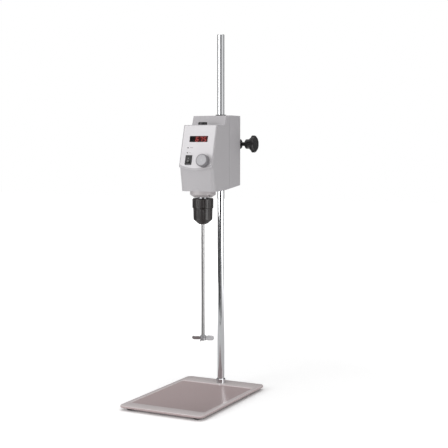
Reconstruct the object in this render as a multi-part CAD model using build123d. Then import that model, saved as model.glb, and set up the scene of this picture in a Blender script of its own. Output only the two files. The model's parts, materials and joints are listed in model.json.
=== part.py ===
from build123d import *
from math import asin, cos, pi, radians, sin, sqrt, tan
import os

# All lengths are in millimetres. Z is up, the front of the stirrer faces -Y, and while
# the pieces are drawn the stand rod's axis is X = 0, Y = 0 with Z = 0 on the bench.

# Fits shared by many pieces
running_clearance = 0.05
loose_clearance = 0.15
seat_gap = 0.1
overcut = 1.0

# Stand
plate_width = 200.0
plate_depth = 310.0
plate_thickness = 5.0
plate_corner_radius = 12.0
plate_edge_round = 1.2
field_recess = 1.4
field_slope = 2.4
field_corner_radius = 3.0
border_side = 10.0
border_front = 32.0
border_back = 46.0
foot_height = 6.0
foot_diameter = 18.0
foot_inset = 20.0
foot_edge = 0.8
foot_screw_diameter = 4.0
foot_screw_head_diameter = 7.5
foot_screw_head_height = 2.4
foot_screw_bite = 3.2
rod_diameter = 16.0
rod_length = 800.0
rod_end_chamfer = 1.0
rod_to_back_edge = 27.0
rod_collar_diameter = 21.0
rod_collar_height = 10.0
rod_collar_edge = 1.0
rod_screw_diameter = 8.0
rod_screw_bite = 24.0
rod_screw_head_diameter = 14.0
rod_screw_head_height = 3.6
rod_socket_across = 6.0
rod_socket_depth = 2.0
rod_washer_diameter = 22.0
rod_washer_thickness = 1.0

rod_radius = rod_diameter / 2
plate_bottom = foot_height
plate_top = plate_bottom + plate_thickness
plate_back_y = rod_to_back_edge
plate_front_y = plate_back_y - plate_depth
rod_top = plate_top + rod_length

# Drive head: where it stands on the rod, and its moulded outline in side view
head_width = 83.0
head_top = 628.6
head_depth_behind_rod = 18.0
wall = 2.5
spindle_to_rod = 87.6
seam_to_rod = 40.0
seam_gap = 0.4
crown_height = 1.6
brow_top_y = -54.5
brow_bottom_y = -62.5
brow_top_drop = 2.4
ledge_drop = 23.6
brow_foot_round = 3.0
brow_edge_round = 1.5
panel_top_y = -98.5
panel_tilt = 15.0
panel_length = 91.8
nose_bulge = 2.1
lip_height = 3.2
lower_front_setback = 1.4
lower_front_draft = 7.4
lower_corner_radius_top = 6.0
lower_corner_radius_bottom = 10.0
bottom_drop = 169.1
bottom_rise = 10.5
bottom_kink_y = -75.0
corner_round = 3.0
panel_side_round = 2.5

half_head = head_width / 2
head_back_y = head_depth_behind_rod
spindle_y = -spindle_to_rod
seam_y = -seam_to_rod
ledge_z = head_top - ledge_drop
brow_top_z = head_top - brow_top_drop
head_bottom = head_top - bottom_drop
back_bottom = head_bottom + bottom_rise
panel_cos = cos(radians(panel_tilt))
panel_sin = sin(radians(panel_tilt))
nose_side_y = panel_top_y - panel_length * panel_sin
nose_side_z = ledge_z - panel_length * panel_cos
nose_mid_y = nose_side_y - nose_bulge
nose_mid_z = nose_side_z - nose_bulge * panel_cos / panel_sin

# Control panel: places are distances across (X) and down the panel from its top edge
overlay_thickness = 0.8
overlay_margin = 3.0
overlay_corner_radius = 3.0
overlay_top_margin = 1.5
overlay_front_margin = 0.6
window_width = 45.0
window_height = 13.6
window_down = 32.1
window_corner = 1.0
lens_thickness = 1.6
lens_gap = 0.1
module_depth = 5.6
module_margin = 1.2
led_diameter = 3.0
led_x = -23.7
led_downs = (51.8, 63.2)
led_stand = 0.2
led_dome_round = 0.6
led_flange = 0.4
led_flange_height = 1.1
board_depth = 8.6
board_thickness = 1.6
board_width = 66.0
board_top_down = 25.5
board_bottom_down = 66.5
board_boss_diameter = 5.0
board_screw_diameter = 2.5
board_screw_head_height = 1.6
board_screw_inset = 3.5
board_screw_end = 1.0
chip_height = 1.4
chips = ((-18.0, 9.0), (6.0, 12.0), (24.0, 7.0))
chip_down = 6.0
switch_x = -18.8
switch_down = 79.6
switch_width = 16.0
switch_height = 21.6
switch_bezel = 1.6
switch_body_width = 13.2
switch_body_height = 19.0
switch_body_depth = 13.5
switch_bezel_corner = 1.2
switch_bezel_edge = 0.6
switch_floor = 2.0
switch_tab_size = (3.0, 0.8, 6.0)
switch_tab_downs = (-5.5, 0.0, 5.5)
rocker_width = 9.4
rocker_length = 14.4
rocker_swing = 20.0
rocker_pivot_depth = 0.4
rocker_pin_radius = 1.0
rocker_stand = 0.2
rocker_depth = 2.6
rocker_edge_round = 0.5
rocker_pin_reach = 1.0
rocker_pin_end_gap = 0.2
knob_x = 20.0
knob_down = 82.6
knob_diameter = 28.0
knob_height = 12.5
knob_lift = 0.8
knob_flutes = 30
knob_flute_radius = 1.0
knob_face_diameter = 23.0
knob_face_thickness = 0.8
knob_edge = 1.2
knob_flute_out = 0.45
knob_nut_room = 1.0
knob_nut_room_height = 3.2
knob_rim_wall = 3.0
knob_hollow_height = 1.6
knob_bore_end = 2.9
knob_mark_size = (1.4, 4.6, 0.7)
knob_mark_inset = 3.6
pot_body_diameter = 16.0
pot_body_depth = 9.0
pot_bush_diameter = 7.0
pot_nut_across = 10.0
pot_nut_height = 2.0
pot_shaft_diameter = 6.0
pot_bush_end = 1.0
pot_floor = 1.5
pot_tab_size = (1.2, 7.0, 0.8)
pot_tab_out = 1.0
pot_tab_back = 3.0
pot_tab_spacing = 5.0

# Through-hole cap on the ledge over the spindle
cap_diameter = 20.0
cap_height = 6.2
cap_plug_diameter = 16.6
cap_plug_length = 5.0
cap_plug_bore = 14.4
cap_edge_round = 1.8
cap_bore_rise = 2.0

# Spindle, its bearings and the bearing housing
spindle_bore = 10.4
spindle_journal = 15.0
spindle_upper = 13.0
spindle_nose = 13.0
spindle_nose_length = 17.0
spindle_shoulder_diameter = 21.0
spindle_mouth_gap = 0.6
spanner_flat_depth = 1.2
bearing_outer = 32.0
bearing_width = 9.0
bearing_race = 3.0
bearing_shield_gap = 0.3
bearing_shield = 1.2
bearing_ledge = 2.4
bearing_span = 31.0
housing_flange_diameter = 57.0
housing_flange_height = 7.8
housing_cone_height = 6.2
housing_cone_diameter = 39.0
housing_tube_diameter = 38.0
housing_tube_top_lip = 2.0
housing_flange_round = 1.0
seal_thickness = 2.0
spacer_circle_radius = 24.6
spacer_diameter = 7.0
spacer_turns = (60.0, 180.0, 300.0)
mount_screw_diameter = 4.0
mount_screw_head_diameter = 7.0
mount_screw_head_height = 3.0
mount_screw_socket_across = 3.0
mount_screw_socket_depth = 1.8
mount_screw_end = 1.0

# Belt drive, motor and deck
motor_to_rod = 42.0
motor_diameter = 44.0
motor_length = 72.0
motor_shaft_diameter = 5.0
motor_boss_radius = 7.0
motor_screw_x = 14.0
motor_screw_diameter = 3.0
motor_screw_head_diameter = 5.6
motor_screw_head_height = 1.4
motor_case_wall = 1.6
motor_floor = 3.0
motor_boss_gap = 1.0
end_cap_plug = 2.0
end_cap_rim = 2.4
end_cap_hub_diameter = 16.0
end_cap_hub_height = 6.0
magnet_thickness = 3.6
magnet_low = 10.0
magnet_top_drop = 14.0
magnet_split = 6.0
rotor_air_gap = 0.8
rotor_low = 12.0
rotor_top_drop = 18.0
rotor_slots = 8
rotor_slot_depth = 3.0
rotor_slot_width = 2.0
commutator_diameter = 14.0
commutator_low_drop = 15.0
commutator_top_drop = 6.0
motor_shaft_end = 5.0
belt_pitch = 3.0
driven_teeth = 40
driver_teeth = 20
belt_width = 9.0
belt_thickness = 1.6
belt_gap = 0.3
pulley_flange = 1.2
pulley_flange_lip = 1.4
tooth_depth = 0.8
tooth_share = 0.45
ring_lip = 2.0
ring_thickness = 1.2
deck_thickness = 5.0
deck_width = 68.0
deck_front_y = -104.0
deck_back_y = 15.0
deck_corner_radius = 6.0
deck_journal_gap = 2.5
deck_rod_gap = 1.0
pulley_to_deck = 1.6
housing_to_pulley = 2.6

# Rod clamp at the back of the head
liner_wall = 3.0
liner_slit = 2.0
liner_lift = 0.5
clamp_ring_wall = 8.0
clamp_block_gap = 0.5
lug_root = 8.0
lug_window_gap = 0.6
clamp_block_height = 66.0
clamp_slit = 3.0
clamp_screw_x = 14.0
clamp_screw_y = 7.5
clamp_screw_diameter = 5.0
clamp_screw_head_diameter = 8.4
clamp_screw_head_height = 3.0
clamp_screw_bite = 13.0
clamp_axis_y = 32.0
clamp_axis_drop = 65.0
lug_outer_x = 24.0
lug_height = 25.0
clamp_washer_diameter = 22.0
clamp_washer_thickness = 4.0
clamp_stud_diameter = 8.0
clamp_collar_length = 7.0
clamp_collar_edge = 0.8
clamp_stud_end = 2.0
clamp_stud_bite = 14.0
clamp_neck_length = 13.7
clamp_neck_diameter = 9.0
clamp_nut_across = 13.0
clamp_nut_height = 6.5
star_diameter = 39.0
star_hub_diameter = 22.0
star_hub_length = 7.0
star_hub_edge = 1.0
star_hub_flare = 3.6
star_length = 24.0
star_rim_thickness = 8.5
star_lobes = 6
star_gap_radius = 6.0
star_gap_out = 0.42
star_face_round = 3.0
star_edge = 1.2
rod_bush_wall = 3.2
rod_bush_lip = 0.8
rod_bush_lip_height = 1.2
rod_bush_depth = 6.0

# Chuck
chuck_gap = 2.0
chuck_length = 58.0
rear_sleeve_diameter = 47.4
rear_sleeve_length = 21.7
front_sleeve_diameter = 43.6
front_sleeve_taper = 0.6
nose_cone_height = 10.8
sleeve_gap = 0.4
sleeve_step = 0.4
sleeve_edge = 0.5
sleeve_flutes = 24
sleeve_flute_radius = 1.3
sleeve_flute_depth = 0.7
shank_diameter = 8.0
jaw_angle = 18.0
jaw_diameter = 7.6
jaw_height = 28.0
jaw_nose_radius = 5.0
jaw_travel = 4.0
chuck_core_diameter = 30.0
chuck_collar_diameter = 36.4
chuck_nut_height = 10.5
chuck_nut_diameter = 39.2
chuck_nut_up = 16.0
chuck_nose_wall = 0.8
jaw_nose_up = 1.5
jaw_protrusion = 0.3
jaw_line_clearance = 0.35
jaw_thread_pitch = 1.6
jaw_thread_depth = 0.6
jaw_turns = (90.0, 210.0, 330.0)
chuck_skirt_wall = 1.9

# Stirring shaft and propeller
shaft_length = 350.0
shaft_reach = 254.5
shank_chamfer = 0.6
propeller_diameter = 50.0
propeller_hub_diameter = 13.0
propeller_hub_height = 11.0
propeller_hub_edge = 0.6
blade_width = 12.0
blade_thickness = 1.6
blade_pitch = 45.0
blade_count = 4
blade_turn = 20.0
blade_root_share = 0.64
blade_shoulder_share = 0.45
blade_tip_share = 0.82
blade_root_gap = 1.0
grub_screw_diameter = 3.0
grub_screw_lift = 2.4
grub_socket_depth = 1.2

# Mains inlet, power board and screws at the back
inlet_x = -23.0
inlet_up = 24.0
inlet_width = 27.0
inlet_height = 20.0
inlet_corner = 5.0
inlet_wall = 1.8
inlet_flange = 2.0
inlet_flange_overhang = 2.0
inlet_depth = 20.0
inlet_floor = 3.0
blade_spacing = 7.0
earth_offset = 4.0
inlet_blade_width = 4.0
inlet_blade_thickness = 2.0
inlet_blade_tail = 6.0
inlet_blade_recess = 5.5
power_board_height = 74.0
power_board_depth = 46.0
power_board_lift = 1.5
power_board_inset = 4.0
power_boss_length = 4.0
transformer_size = (8.0, 12.0, 22.0)
capacitor_diameter = 9.0
capacitor_length = 20.0
case_screw_x = 34.0
case_screw_diameter = 3.5
case_screw_head_diameter = 6.6
case_screw_head_height = 3.0
case_recess_length = 3.6
case_recess_width = 0.8
case_recess_depth = 1.4
case_screw_end = 3.0
case_boss_diameter = 9.0
front_boss_length = 14.0
boss_floor = 2.0
boss_rib = 2.4
case_screw_sink = 1.0
case_screw_low_up = 7.0
case_screw_top_drop = 18.0

# Heights and places worked out from the sizes above
flange_bottom = head_bottom - housing_flange_height
cone_bottom = flange_bottom - housing_cone_height
chuck_top = cone_bottom - chuck_gap
chuck_bottom = chuck_top - chuck_length
seal_bottom = cone_bottom + seal_thickness
lower_bearing_z = seal_bottom + seal_thickness
upper_bearing_z = lower_bearing_z + bearing_span
tube_top = upper_bearing_z + bearing_width + housing_tube_top_lip
pulley_bottom = tube_top + housing_to_pulley
pulley_height = belt_width + 2 * pulley_flange + 2 * belt_gap
pulley_top = pulley_bottom + pulley_height
belt_bottom = pulley_bottom + pulley_flange + belt_gap
deck_bottom = pulley_top + pulley_to_deck
deck_top = deck_bottom + deck_thickness
motor_y = -motor_to_rod
motor_top = deck_top + motor_length
driven_radius = driven_teeth * belt_pitch / (2 * pi)
driver_radius = driver_teeth * belt_pitch / (2 * pi)
pad_top = head_bottom + 2 * wall
pad_radius = housing_flange_diameter / 2 + 1.0
spindle_top = ledge_z - seat_gap * 5
clamp_z = head_top - clamp_axis_drop
clamp_block_top = deck_top + clamp_block_height
liner_outer = rod_radius + running_clearance + liner_wall
clamp_bore = liner_outer + running_clearance
washer_inner_x = lug_outer_x + running_clearance
washer_outer_x = washer_inner_x + clamp_washer_thickness
collar_outer_x = washer_outer_x + running_clearance + clamp_collar_length
star_inner_x = collar_outer_x + clamp_neck_length
star_outer_x = star_inner_x + star_length
inlet_z = back_bottom + inlet_up
case_screw_heights = (back_bottom + case_screw_low_up, head_top - case_screw_top_drop)
rod_bush_radius = rod_radius + loose_clearance + rod_bush_wall
power_board_x = -half_head + wall + power_boss_length
power_board_low = deck_top + power_board_lift
power_board_top = power_board_low + power_board_height
power_board_back = head_back_y - wall - seat_gap - running_clearance
power_board_front = power_board_back - power_board_depth
chuck_nut_low = chuck_bottom + chuck_nut_up
jaw_low = chuck_bottom + jaw_protrusion
propeller_z = chuck_bottom - shaft_reach
shaft_bottom = propeller_z - propeller_hub_height / 2
shaft_top = shaft_bottom + shaft_length
grub_turn = blade_turn - 180 / blade_count
grub_z = propeller_z + grub_screw_lift
panel_plane = Plane(
    origin=(0, panel_top_y, ledge_z), x_dir=(1, 0, 0), z_dir=(0, -panel_cos, panel_sin)
)


# Plain solids between named limits

def block(x_low, x_high, y_low, y_high, z_low, z_high):
    centre = Pos((x_low + x_high) / 2, (y_low + y_high) / 2, (z_low + z_high) / 2)
    return centre * Box(x_high - x_low, y_high - y_low, z_high - z_low)


def upright(x, y, z_low, z_high, radius):
    return Pos(x, y, (z_low + z_high) / 2) * Cylinder(radius, z_high - z_low)


def crosswise(x_low, x_high, y, z, radius):
    return Pos((x_low + x_high) / 2, y, z) * Rot(0, 90, 0) * Cylinder(radius, x_high - x_low)


def fore_and_aft(x, y_low, y_high, z, radius):
    return Pos(x, (y_low + y_high) / 2, z) * Rot(90, 0, 0) * Cylinder(radius, y_high - y_low)


def turned(points, x=0.0, y=0.0):
    outline = Polyline(*[(radius, 0, z) for radius, z in points], close=True)
    return Pos(x, y, 0) * revolve(make_face(outline), axis=Axis.Z)


def on_panel(across, down, height=0.0):
    return panel_plane.location * Pos(across, -down, height)


def hexagon(across, height):
    return extrude(RegularPolygon(across / 2, 6, major_radius=False), height)


def side_prism(points, half_width):
    outline = Polyline(*[(0, y, z) for y, z in points], close=True)
    return extrude(make_face(outline), half_width, dir=(1, 0, 0), both=True)


# Stand: plate, feet, rod and what holds them together

def field_face(side, z):
    low_x = -plate_width / 2 + border_side + side
    low_y = plate_front_y + border_front + side
    high_y = plate_back_y - border_back - side
    face = RectangleRounded(-2 * low_x, high_y - low_y, field_corner_radius + field_slope - side)
    return Pos(0, (low_y + high_y) / 2, z) * face


def foot_places():
    for x in (-plate_width / 2 + foot_inset, plate_width / 2 - foot_inset):
        for y in (plate_front_y + foot_inset, plate_back_y - foot_inset):
            yield x, y


def base_plate():
    middle_y = (plate_front_y + plate_back_y) / 2
    outline = RectangleRounded(plate_width, plate_depth, plate_corner_radius)
    plate = Pos(0, middle_y, plate_bottom) * extrude(outline, plate_thickness)
    rims = plate.faces().filter_by(Axis.Z).edges()
    plate = fillet(rims, plate_edge_round)
    field = loft([field_face(field_slope, plate_top - field_recess), field_face(0, plate_top)])
    plate -= field
    plate -= upright(0, 0, 0, plate_top + overcut, rod_screw_diameter / 2 + seat_gap)
    for x, y in foot_places():
        bite = plate_bottom + foot_screw_bite
        plate -= upright(x, y, 0, bite, foot_screw_diameter / 2 + seat_gap)
    return plate


def base_feet():
    feet = []
    head_seat = plate_bottom - foot_screw_head_height
    for x, y in foot_places():
        foot = upright(x, y, 0, plate_bottom, foot_diameter / 2)
        foot = chamfer(foot.edges().group_by(Axis.Z)[0], foot_edge)
        foot -= upright(x, y, 0, head_seat, foot_screw_head_diameter / 2 + seat_gap)
        foot -= upright(x, y, 0, plate_top, foot_screw_diameter / 2 + seat_gap)
        feet.append(foot)
    return feet


def foot_screws():
    screws = []
    head_seat = plate_bottom - foot_screw_head_height
    for x, y in foot_places():
        head_low = head_seat - foot_screw_head_height
        screw = upright(x, y, head_low, head_seat, foot_screw_head_diameter / 2)
        tip = plate_bottom + foot_screw_bite - seat_gap
        screw += upright(x, y, head_seat, tip, foot_screw_diameter / 2)
        screws.append(screw)
    return screws


def stand_rod():
    rod = upright(0, 0, plate_top, rod_top, rod_radius)
    rod = chamfer(rod.edges().sort_by(Axis.Z)[-1], rod_end_chamfer)
    hole_top = plate_top + rod_screw_bite + overcut
    return rod - upright(0, 0, 0, hole_top, rod_screw_diameter / 2 + seat_gap)


def rod_collar():
    collar = upright(0, 0, plate_top, plate_top + rod_collar_height, rod_collar_diameter / 2)
    collar = chamfer(collar.edges().sort_by(Axis.Z)[-1], rod_collar_edge)
    return collar - upright(0, 0, 0, rod_top, rod_radius + seat_gap)


def rod_washer():
    low = plate_bottom - rod_washer_thickness
    washer = upright(0, 0, low, plate_bottom, rod_washer_diameter / 2)
    return washer - upright(0, 0, 0, plate_top, rod_screw_diameter / 2 + seat_gap)


def rod_screw():
    seat = plate_bottom - rod_washer_thickness
    screw = upright(0, 0, seat - rod_screw_head_height, seat, rod_screw_head_diameter / 2)
    screw += upright(0, 0, seat, plate_top + rod_screw_bite, rod_screw_diameter / 2)
    socket = hexagon(rod_socket_across, rod_socket_depth)
    return screw - Pos(0, 0, seat - rod_screw_head_height) * socket


# Drive head: the moulded housing. Every face lies 'inset' inside the outer form.

def side_form(inset):
    points = [
        (head_back_y, head_bottom), (head_back_y, head_top), (brow_top_y, brow_top_z),
        (brow_bottom_y, ledge_z), (panel_top_y, ledge_z), (nose_mid_y, nose_mid_z),
        (nose_mid_y, head_bottom),
    ]
    outline = make_face(Polyline(*[(0, y, z) for y, z in points], close=True))
    if inset:
        outline = offset(outline, -inset, kind=Kind.INTERSECTION)
    return extrude(outline, head_width / 2 - inset, dir=(1, 0, 0), both=True)


def upper_form(inset):
    side = side_form(inset)
    lip = 0.0 if inset else lip_height
    if not inset:
        side = rounded_prism(side)
    top_side = nose_side_z - lip
    top_mid = nose_mid_z - lip
    half = half_head + overcut
    crown = head_top - inset
    elevation = make_face([
        ThreePointArc((-half, 0, top_side), (0, 0, top_mid), (half, 0, top_side)),
        Line((half, 0, top_side), (half, 0, crown - crown_height)),
        ThreePointArc((half, 0, crown - crown_height), (0, 0, crown), (-half, 0, crown - crown_height)),
        Line((-half, 0, crown - crown_height), (-half, 0, top_side)),
    ])
    front = extrude(elevation, plate_depth, dir=(0, 1, 0), both=True)
    plan = plan_face(nose_mid_y + inset, nose_bulge, 0, inset, 0)
    return side & front & extrude(plan, head_top + overcut)


def rounded_prism(prism):
    across = prism.edges().filter_by(Axis.X)
    brow_foot = across.filter_by(lambda edge: abs(edge.center().Y - brow_bottom_y) < 0.1)
    prism = fillet(brow_foot, brow_foot_round)
    along_panel = prism.edges().filter_by(
        lambda edge: abs(edge.center().Y - (panel_top_y + nose_mid_y) / 2) < 1.0
        and abs(edge.center().X) > 1.0
    )
    prism = fillet(along_panel, panel_side_round)
    across = prism.edges().filter_by(Axis.X)
    tops = across.filter_by(
        lambda edge: edge.center().Z > ledge_z - 1.0
        and edge.center().Y < brow_top_y + 1.0
        and abs(edge.center().Y - brow_bottom_y) > brow_foot_round + 1.0
    )
    return fillet(tops, brow_edge_round)


def plan_face(front_mid, bulge, corner_radius, inset, z):
    half = half_head - inset
    side_y = front_mid + bulge
    back = head_back_y - inset
    face = make_face([
        ThreePointArc((-half, side_y, z), (0, front_mid, z), (half, side_y, z)),
        Line((half, side_y, z), (half, back, z)),
        Line((half, back, z), (-half, back, z)),
        Line((-half, back, z), (-half, side_y, z)),
    ])
    if corner_radius:
        front_corners = face.vertices().group_by(Axis.Y)[0]
        face = fillet(front_corners, corner_radius)
    return face


def lower_form(inset):
    top_y = nose_mid_y + lower_front_setback + inset
    bottom_y = top_y + lower_front_draft
    join_z = nose_side_z + lip_height
    sections = [
        plan_face(bottom_y, nose_bulge, lower_corner_radius_bottom - inset / 2, inset, head_bottom + inset),
        plan_face(top_y, nose_bulge, lower_corner_radius_top - inset / 2, inset, join_z),
    ]
    body = loft(sections, ruled=True)
    rise = (head_back_y - bottom_kink_y, bottom_rise)
    ramp = side_prism(
        [
            (bottom_kink_y, head_bottom + inset),
            (head_back_y + overcut, head_bottom + inset + rise[1] * (rise[0] + overcut) / rise[0]),
            (head_back_y + overcut, head_bottom - 5.0), (bottom_kink_y, head_bottom - 5.0),
        ],
        head_width,
    )
    return (body - ramp) & side_form(inset)


def head_form(inset):
    return upper_form(inset) + lower_form(inset)


def outer_form():
    form = head_form(0)
    uprights = form.edges().filter_by(Axis.Z)
    back_edges = uprights.filter_by(lambda edge: edge.center().Y > head_back_y - 1.0)
    return fillet(back_edges, corner_round)


def spacer_places():
    for turn in spacer_turns:
        angle = radians(turn)
        x = spacer_circle_radius * sin(angle)
        yield x, spindle_y - spacer_circle_radius * cos(angle)


def board_screw_places():
    reach = board_width / 2 - board_screw_inset
    for across in (-reach, reach):
        for down in (board_top_down + board_screw_inset, board_bottom_down - board_screw_inset):
            yield across, down


def panel_cut(across, down, width, height, low, high, radius=0.0):
    face = RectangleRounded(width, height, radius) if radius else Rectangle(width, height)
    return on_panel(across, down, low) * extrude(face, high - low)


def panel_hole(across, down, diameter, low, high):
    return on_panel(across, down, (low + high) / 2) * Cylinder(diameter / 2, high - low)


def panel_openings(low, high):
    gap = seat_gap
    cuts = panel_cut(0, window_down, window_width + gap, window_height + gap, low, high, window_corner)
    body_width = switch_body_width + 2 * gap
    body_height = switch_body_height + 2 * gap
    cuts += panel_cut(switch_x, switch_down, body_width, body_height, low, high)
    for down in led_downs:
        cuts += panel_hole(led_x, down, led_diameter + 2 * gap, low, high)
    return cuts + panel_hole(knob_x, knob_down, pot_bush_diameter + 2 * gap, low, high)


def overlay_face():
    top = overlay_top_margin
    height = panel_length - top
    half = half_head - overlay_margin
    dip = nose_bulge / panel_sin
    corners = [(-half, -top), (half, -top), (half, -height), (-half, -height)]
    face = make_face([
        Line(corners[0], corners[1]), Line(corners[1], corners[2]),
        ThreePointArc(corners[2], (0, -height - dip + overlay_front_margin), corners[3]),
        Line(corners[3], corners[0]),
    ])
    return fillet(face.vertices(), overlay_corner_radius)


def overlay_solid(low, high):
    return panel_plane.location * Pos(0, 0, low) * extrude(overlay_face(), high - low)


def boss_side(x, low_y, high_y, z):
    near_x, far_x = sorted((x, 2 * x))
    tie = block(near_x, far_x, low_y, high_y, z - boss_rib / 2, z + boss_rib / 2)
    return tie & head_form(wall / 2)


def front_housing():
    shell = outer_form() - head_form(wall)
    half = half_head + overcut
    shell &= block(-half, half, nose_mid_y - overcut, seam_y - seam_gap / 2, 0, rod_top)
    shell += upright(0, spindle_y, head_bottom, pad_top, pad_radius)
    for x in (-case_screw_x, case_screw_x):
        for z in case_screw_heights:
            low_y = seam_y - seam_gap / 2 - front_boss_length
            boss = fore_and_aft(x, low_y, seam_y - seam_gap / 2, z, case_boss_diameter / 2)
            shell += boss + boss_side(x, low_y, seam_y - seam_gap / 2, z)
            hole_low = low_y + boss_floor
            shell -= fore_and_aft(x, hole_low, seam_y, z, case_screw_diameter / 2 + seat_gap)
    for across, down in board_screw_places():
        boss = panel_hole(across, down, board_boss_diameter, -board_depth + seat_gap, -wall / 2)
        shell += boss
        shell -= panel_hole(across, down, board_screw_diameter + 2 * seat_gap, -board_depth, -wall)
    shell -= overlay_solid(-overlay_thickness, overcut)
    shell -= panel_openings(-2 * wall, overcut)
    shell -= upright(0, spindle_y, 0, pad_top + overcut, housing_tube_diameter / 2 + seat_gap)
    shell -= upright(0, spindle_y, spindle_top - wall * 2, rod_top, cap_plug_diameter / 2 + seat_gap)
    for x, y in spacer_places():
        shell -= upright(x, y, 0, pad_top + overcut, mount_screw_diameter / 2 + seat_gap)
    return shell


def rear_housing():
    shell = outer_form() - head_form(wall)
    half = half_head + overcut
    shell &= block(-half, half, seam_y + seam_gap / 2, head_back_y + overcut, 0, rod_top)
    back_inner = head_back_y - wall
    for x in (-case_screw_x, case_screw_x):
        for z in case_screw_heights:
            tube = fore_and_aft(x, seam_y + seam_gap / 2, back_inner + wall / 2, z, case_boss_diameter / 2)
            shell += tube + boss_side(x, seam_y + seam_gap, back_inner, z)
            shell -= fore_and_aft(x, seam_y, head_back_y, z, case_screw_diameter / 2 + seat_gap)
            sink = head_back_y - case_screw_head_height - case_screw_sink
            shell -= fore_and_aft(x, sink, head_back_y + overcut, z, case_screw_head_diameter / 2 + seat_gap)
    bush_hole = rod_bush_radius + seat_gap
    shell -= upright(0, 0, head_bottom - overcut, back_bottom + 2 * wall, bush_hole)
    shell -= upright(0, 0, head_top - 3 * wall, rod_top, bush_hole)
    gap = lug_window_gap
    window = block(
        -lug_outer_x - gap, lug_outer_x + gap, back_inner - overcut, head_back_y + overcut,
        clamp_z - lug_height / 2 - gap, clamp_z + lug_height / 2 + gap,
    )
    shell -= window
    shell -= inlet_form(seat_gap, back_inner - overcut, head_back_y + overcut)
    for y, z in power_board_places():
        boss_x = -half_head + wall
        boss = crosswise(boss_x - wall / 2, power_board_x - seat_gap, y, z, board_boss_diameter / 2)
        shell += boss
        hole = board_screw_diameter / 2 + seat_gap
        shell -= crosswise(boss_x - wall / 4, power_board_x, y, z, hole)
    return shell


def power_board_places():
    for y in (power_board_front + power_board_inset, power_board_back - power_board_inset):
        for z in (power_board_low + power_board_inset, power_board_top - power_board_inset):
            yield y, z


# Front of the head: overlay, display, lamps, board, switch and speed control

def panel_overlay():
    return overlay_solid(-overlay_thickness, 0) - panel_openings(-2 * wall, overcut)


def display_lens():
    corner = window_corner - seat_gap / 2
    return panel_cut(0, window_down, window_width, window_height, -lens_thickness, -lens_gap, corner)


def display_module():
    high = -lens_thickness - lens_gap
    low = -board_depth + lens_gap
    width = window_width - 2 * module_margin
    height = window_height - 2 * module_margin
    return panel_cut(0, window_down, width, height, low, high)


def indicator_lamps():
    lamps = []
    low = -board_depth + seat_gap
    for down in led_downs:
        lamp = panel_hole(led_x, down, led_diameter, low, led_stand)
        dome_edge = lamp.edges().sort_by(Axis((0, 0, 0), (0, -panel_cos, panel_sin)))[-1]
        lamp = fillet(dome_edge, led_dome_round)
        flange = panel_hole(led_x, down, led_diameter + 2 * led_flange, low, low + led_flange_height)
        lamps.append(lamp + flange)
    return lamps


def control_board():
    middle = (board_top_down + board_bottom_down) / 2
    height = board_bottom_down - board_top_down
    low = -board_depth - board_thickness
    board = panel_cut(0, middle, board_width, height, low, -board_depth, window_corner)
    for across, down in board_screw_places():
        board -= panel_hole(across, down, board_screw_diameter + 2 * seat_gap, low - overcut, 0)
    for across, size in chips:
        board += panel_cut(across, middle + chip_down, size, size, low - chip_height, low)
    return board


def board_screws():
    screws = []
    low = -board_depth - board_thickness
    for across, down in board_screw_places():
        head_low = low - board_screw_head_height
        head = panel_hole(across, down, board_screw_diameter * 1.8, head_low, low)
        shank = panel_hole(across, down, board_screw_diameter, low, -wall - board_screw_end)
        screws.append(head + shank)
    return screws


def rocker_cavity():
    width = rocker_width + 4 * seat_gap
    length = rocker_length + 4 * seat_gap
    floor = switch_floor - switch_body_depth
    return panel_cut(switch_x, switch_down, width, length, floor, switch_bezel + overcut)


def power_switch():
    bezel = panel_cut(
        switch_x, switch_down, switch_width, switch_height, 0, switch_bezel, switch_bezel_corner
    )
    top = bezel.faces().sort_by(Axis((0, 0, 0), (0, -panel_cos, panel_sin)))[-1]
    bezel = chamfer(top.edges(), switch_bezel_edge)
    body = panel_cut(
        switch_x, switch_down, switch_body_width, switch_body_height, -switch_body_depth, 0
    )
    pin_turn = rocker_pin_radius + running_clearance
    pin_bore = rocker_pin(rocker_width / 2 + rocker_pin_reach + rocker_pin_end_gap, pin_turn)
    switch = bezel + body - rocker_cavity() - pin_bore
    for down in switch_tab_downs:
        place = on_panel(switch_x, switch_down + down, -switch_body_depth - switch_tab_size[2] / 2)
        switch += place * Box(*switch_tab_size)
    return switch


def rocker_pin(half_length, radius):
    place = on_panel(switch_x, switch_down, -rocker_pivot_depth)
    return place * Rot(0, 90, 0) * Cylinder(radius, 2 * half_length)


def power_rocker():
    # Both ends are arcs about the pin, so they keep their gap in the switch as the rocker tilts.
    # The upper half lies level with the bezel, and the lower half stands out.
    reach = rocker_length / 2
    level = rocker_pivot_depth + switch_bezel + rocker_stand
    pressed_angle = asin(level / reach)
    raised_angle = pi - pressed_angle - radians(rocker_swing)
    under_angle = asin(rocker_depth / reach)
    pressed = (reach * cos(pressed_angle), reach * sin(pressed_angle))
    raised = (reach * cos(raised_angle), reach * sin(raised_angle))
    under_raised = (-reach * cos(under_angle), -rocker_depth)
    under_pressed = (reach * cos(under_angle), -rocker_depth)
    outline = Polyline(raised, (0, level), pressed)
    outline += ThreePointArc(pressed, (reach, 0), under_pressed)
    outline += Line(under_pressed, under_raised)
    outline += ThreePointArc(under_raised, (-reach, 0), raised)
    body = extrude(Plane.YZ * make_face(outline), rocker_width / 2, both=True)
    rims = body.edges().filter_by(Axis.X).filter_by(
        lambda edge: edge.center().Z > 0 and abs(edge.center().Y) > reach / 2
    )
    body = fillet(rims, rocker_edge_round)
    place = on_panel(switch_x, switch_down, -rocker_pivot_depth)
    return place * body + rocker_pin(rocker_width / 2 + rocker_pin_reach, rocker_pin_radius)


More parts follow.
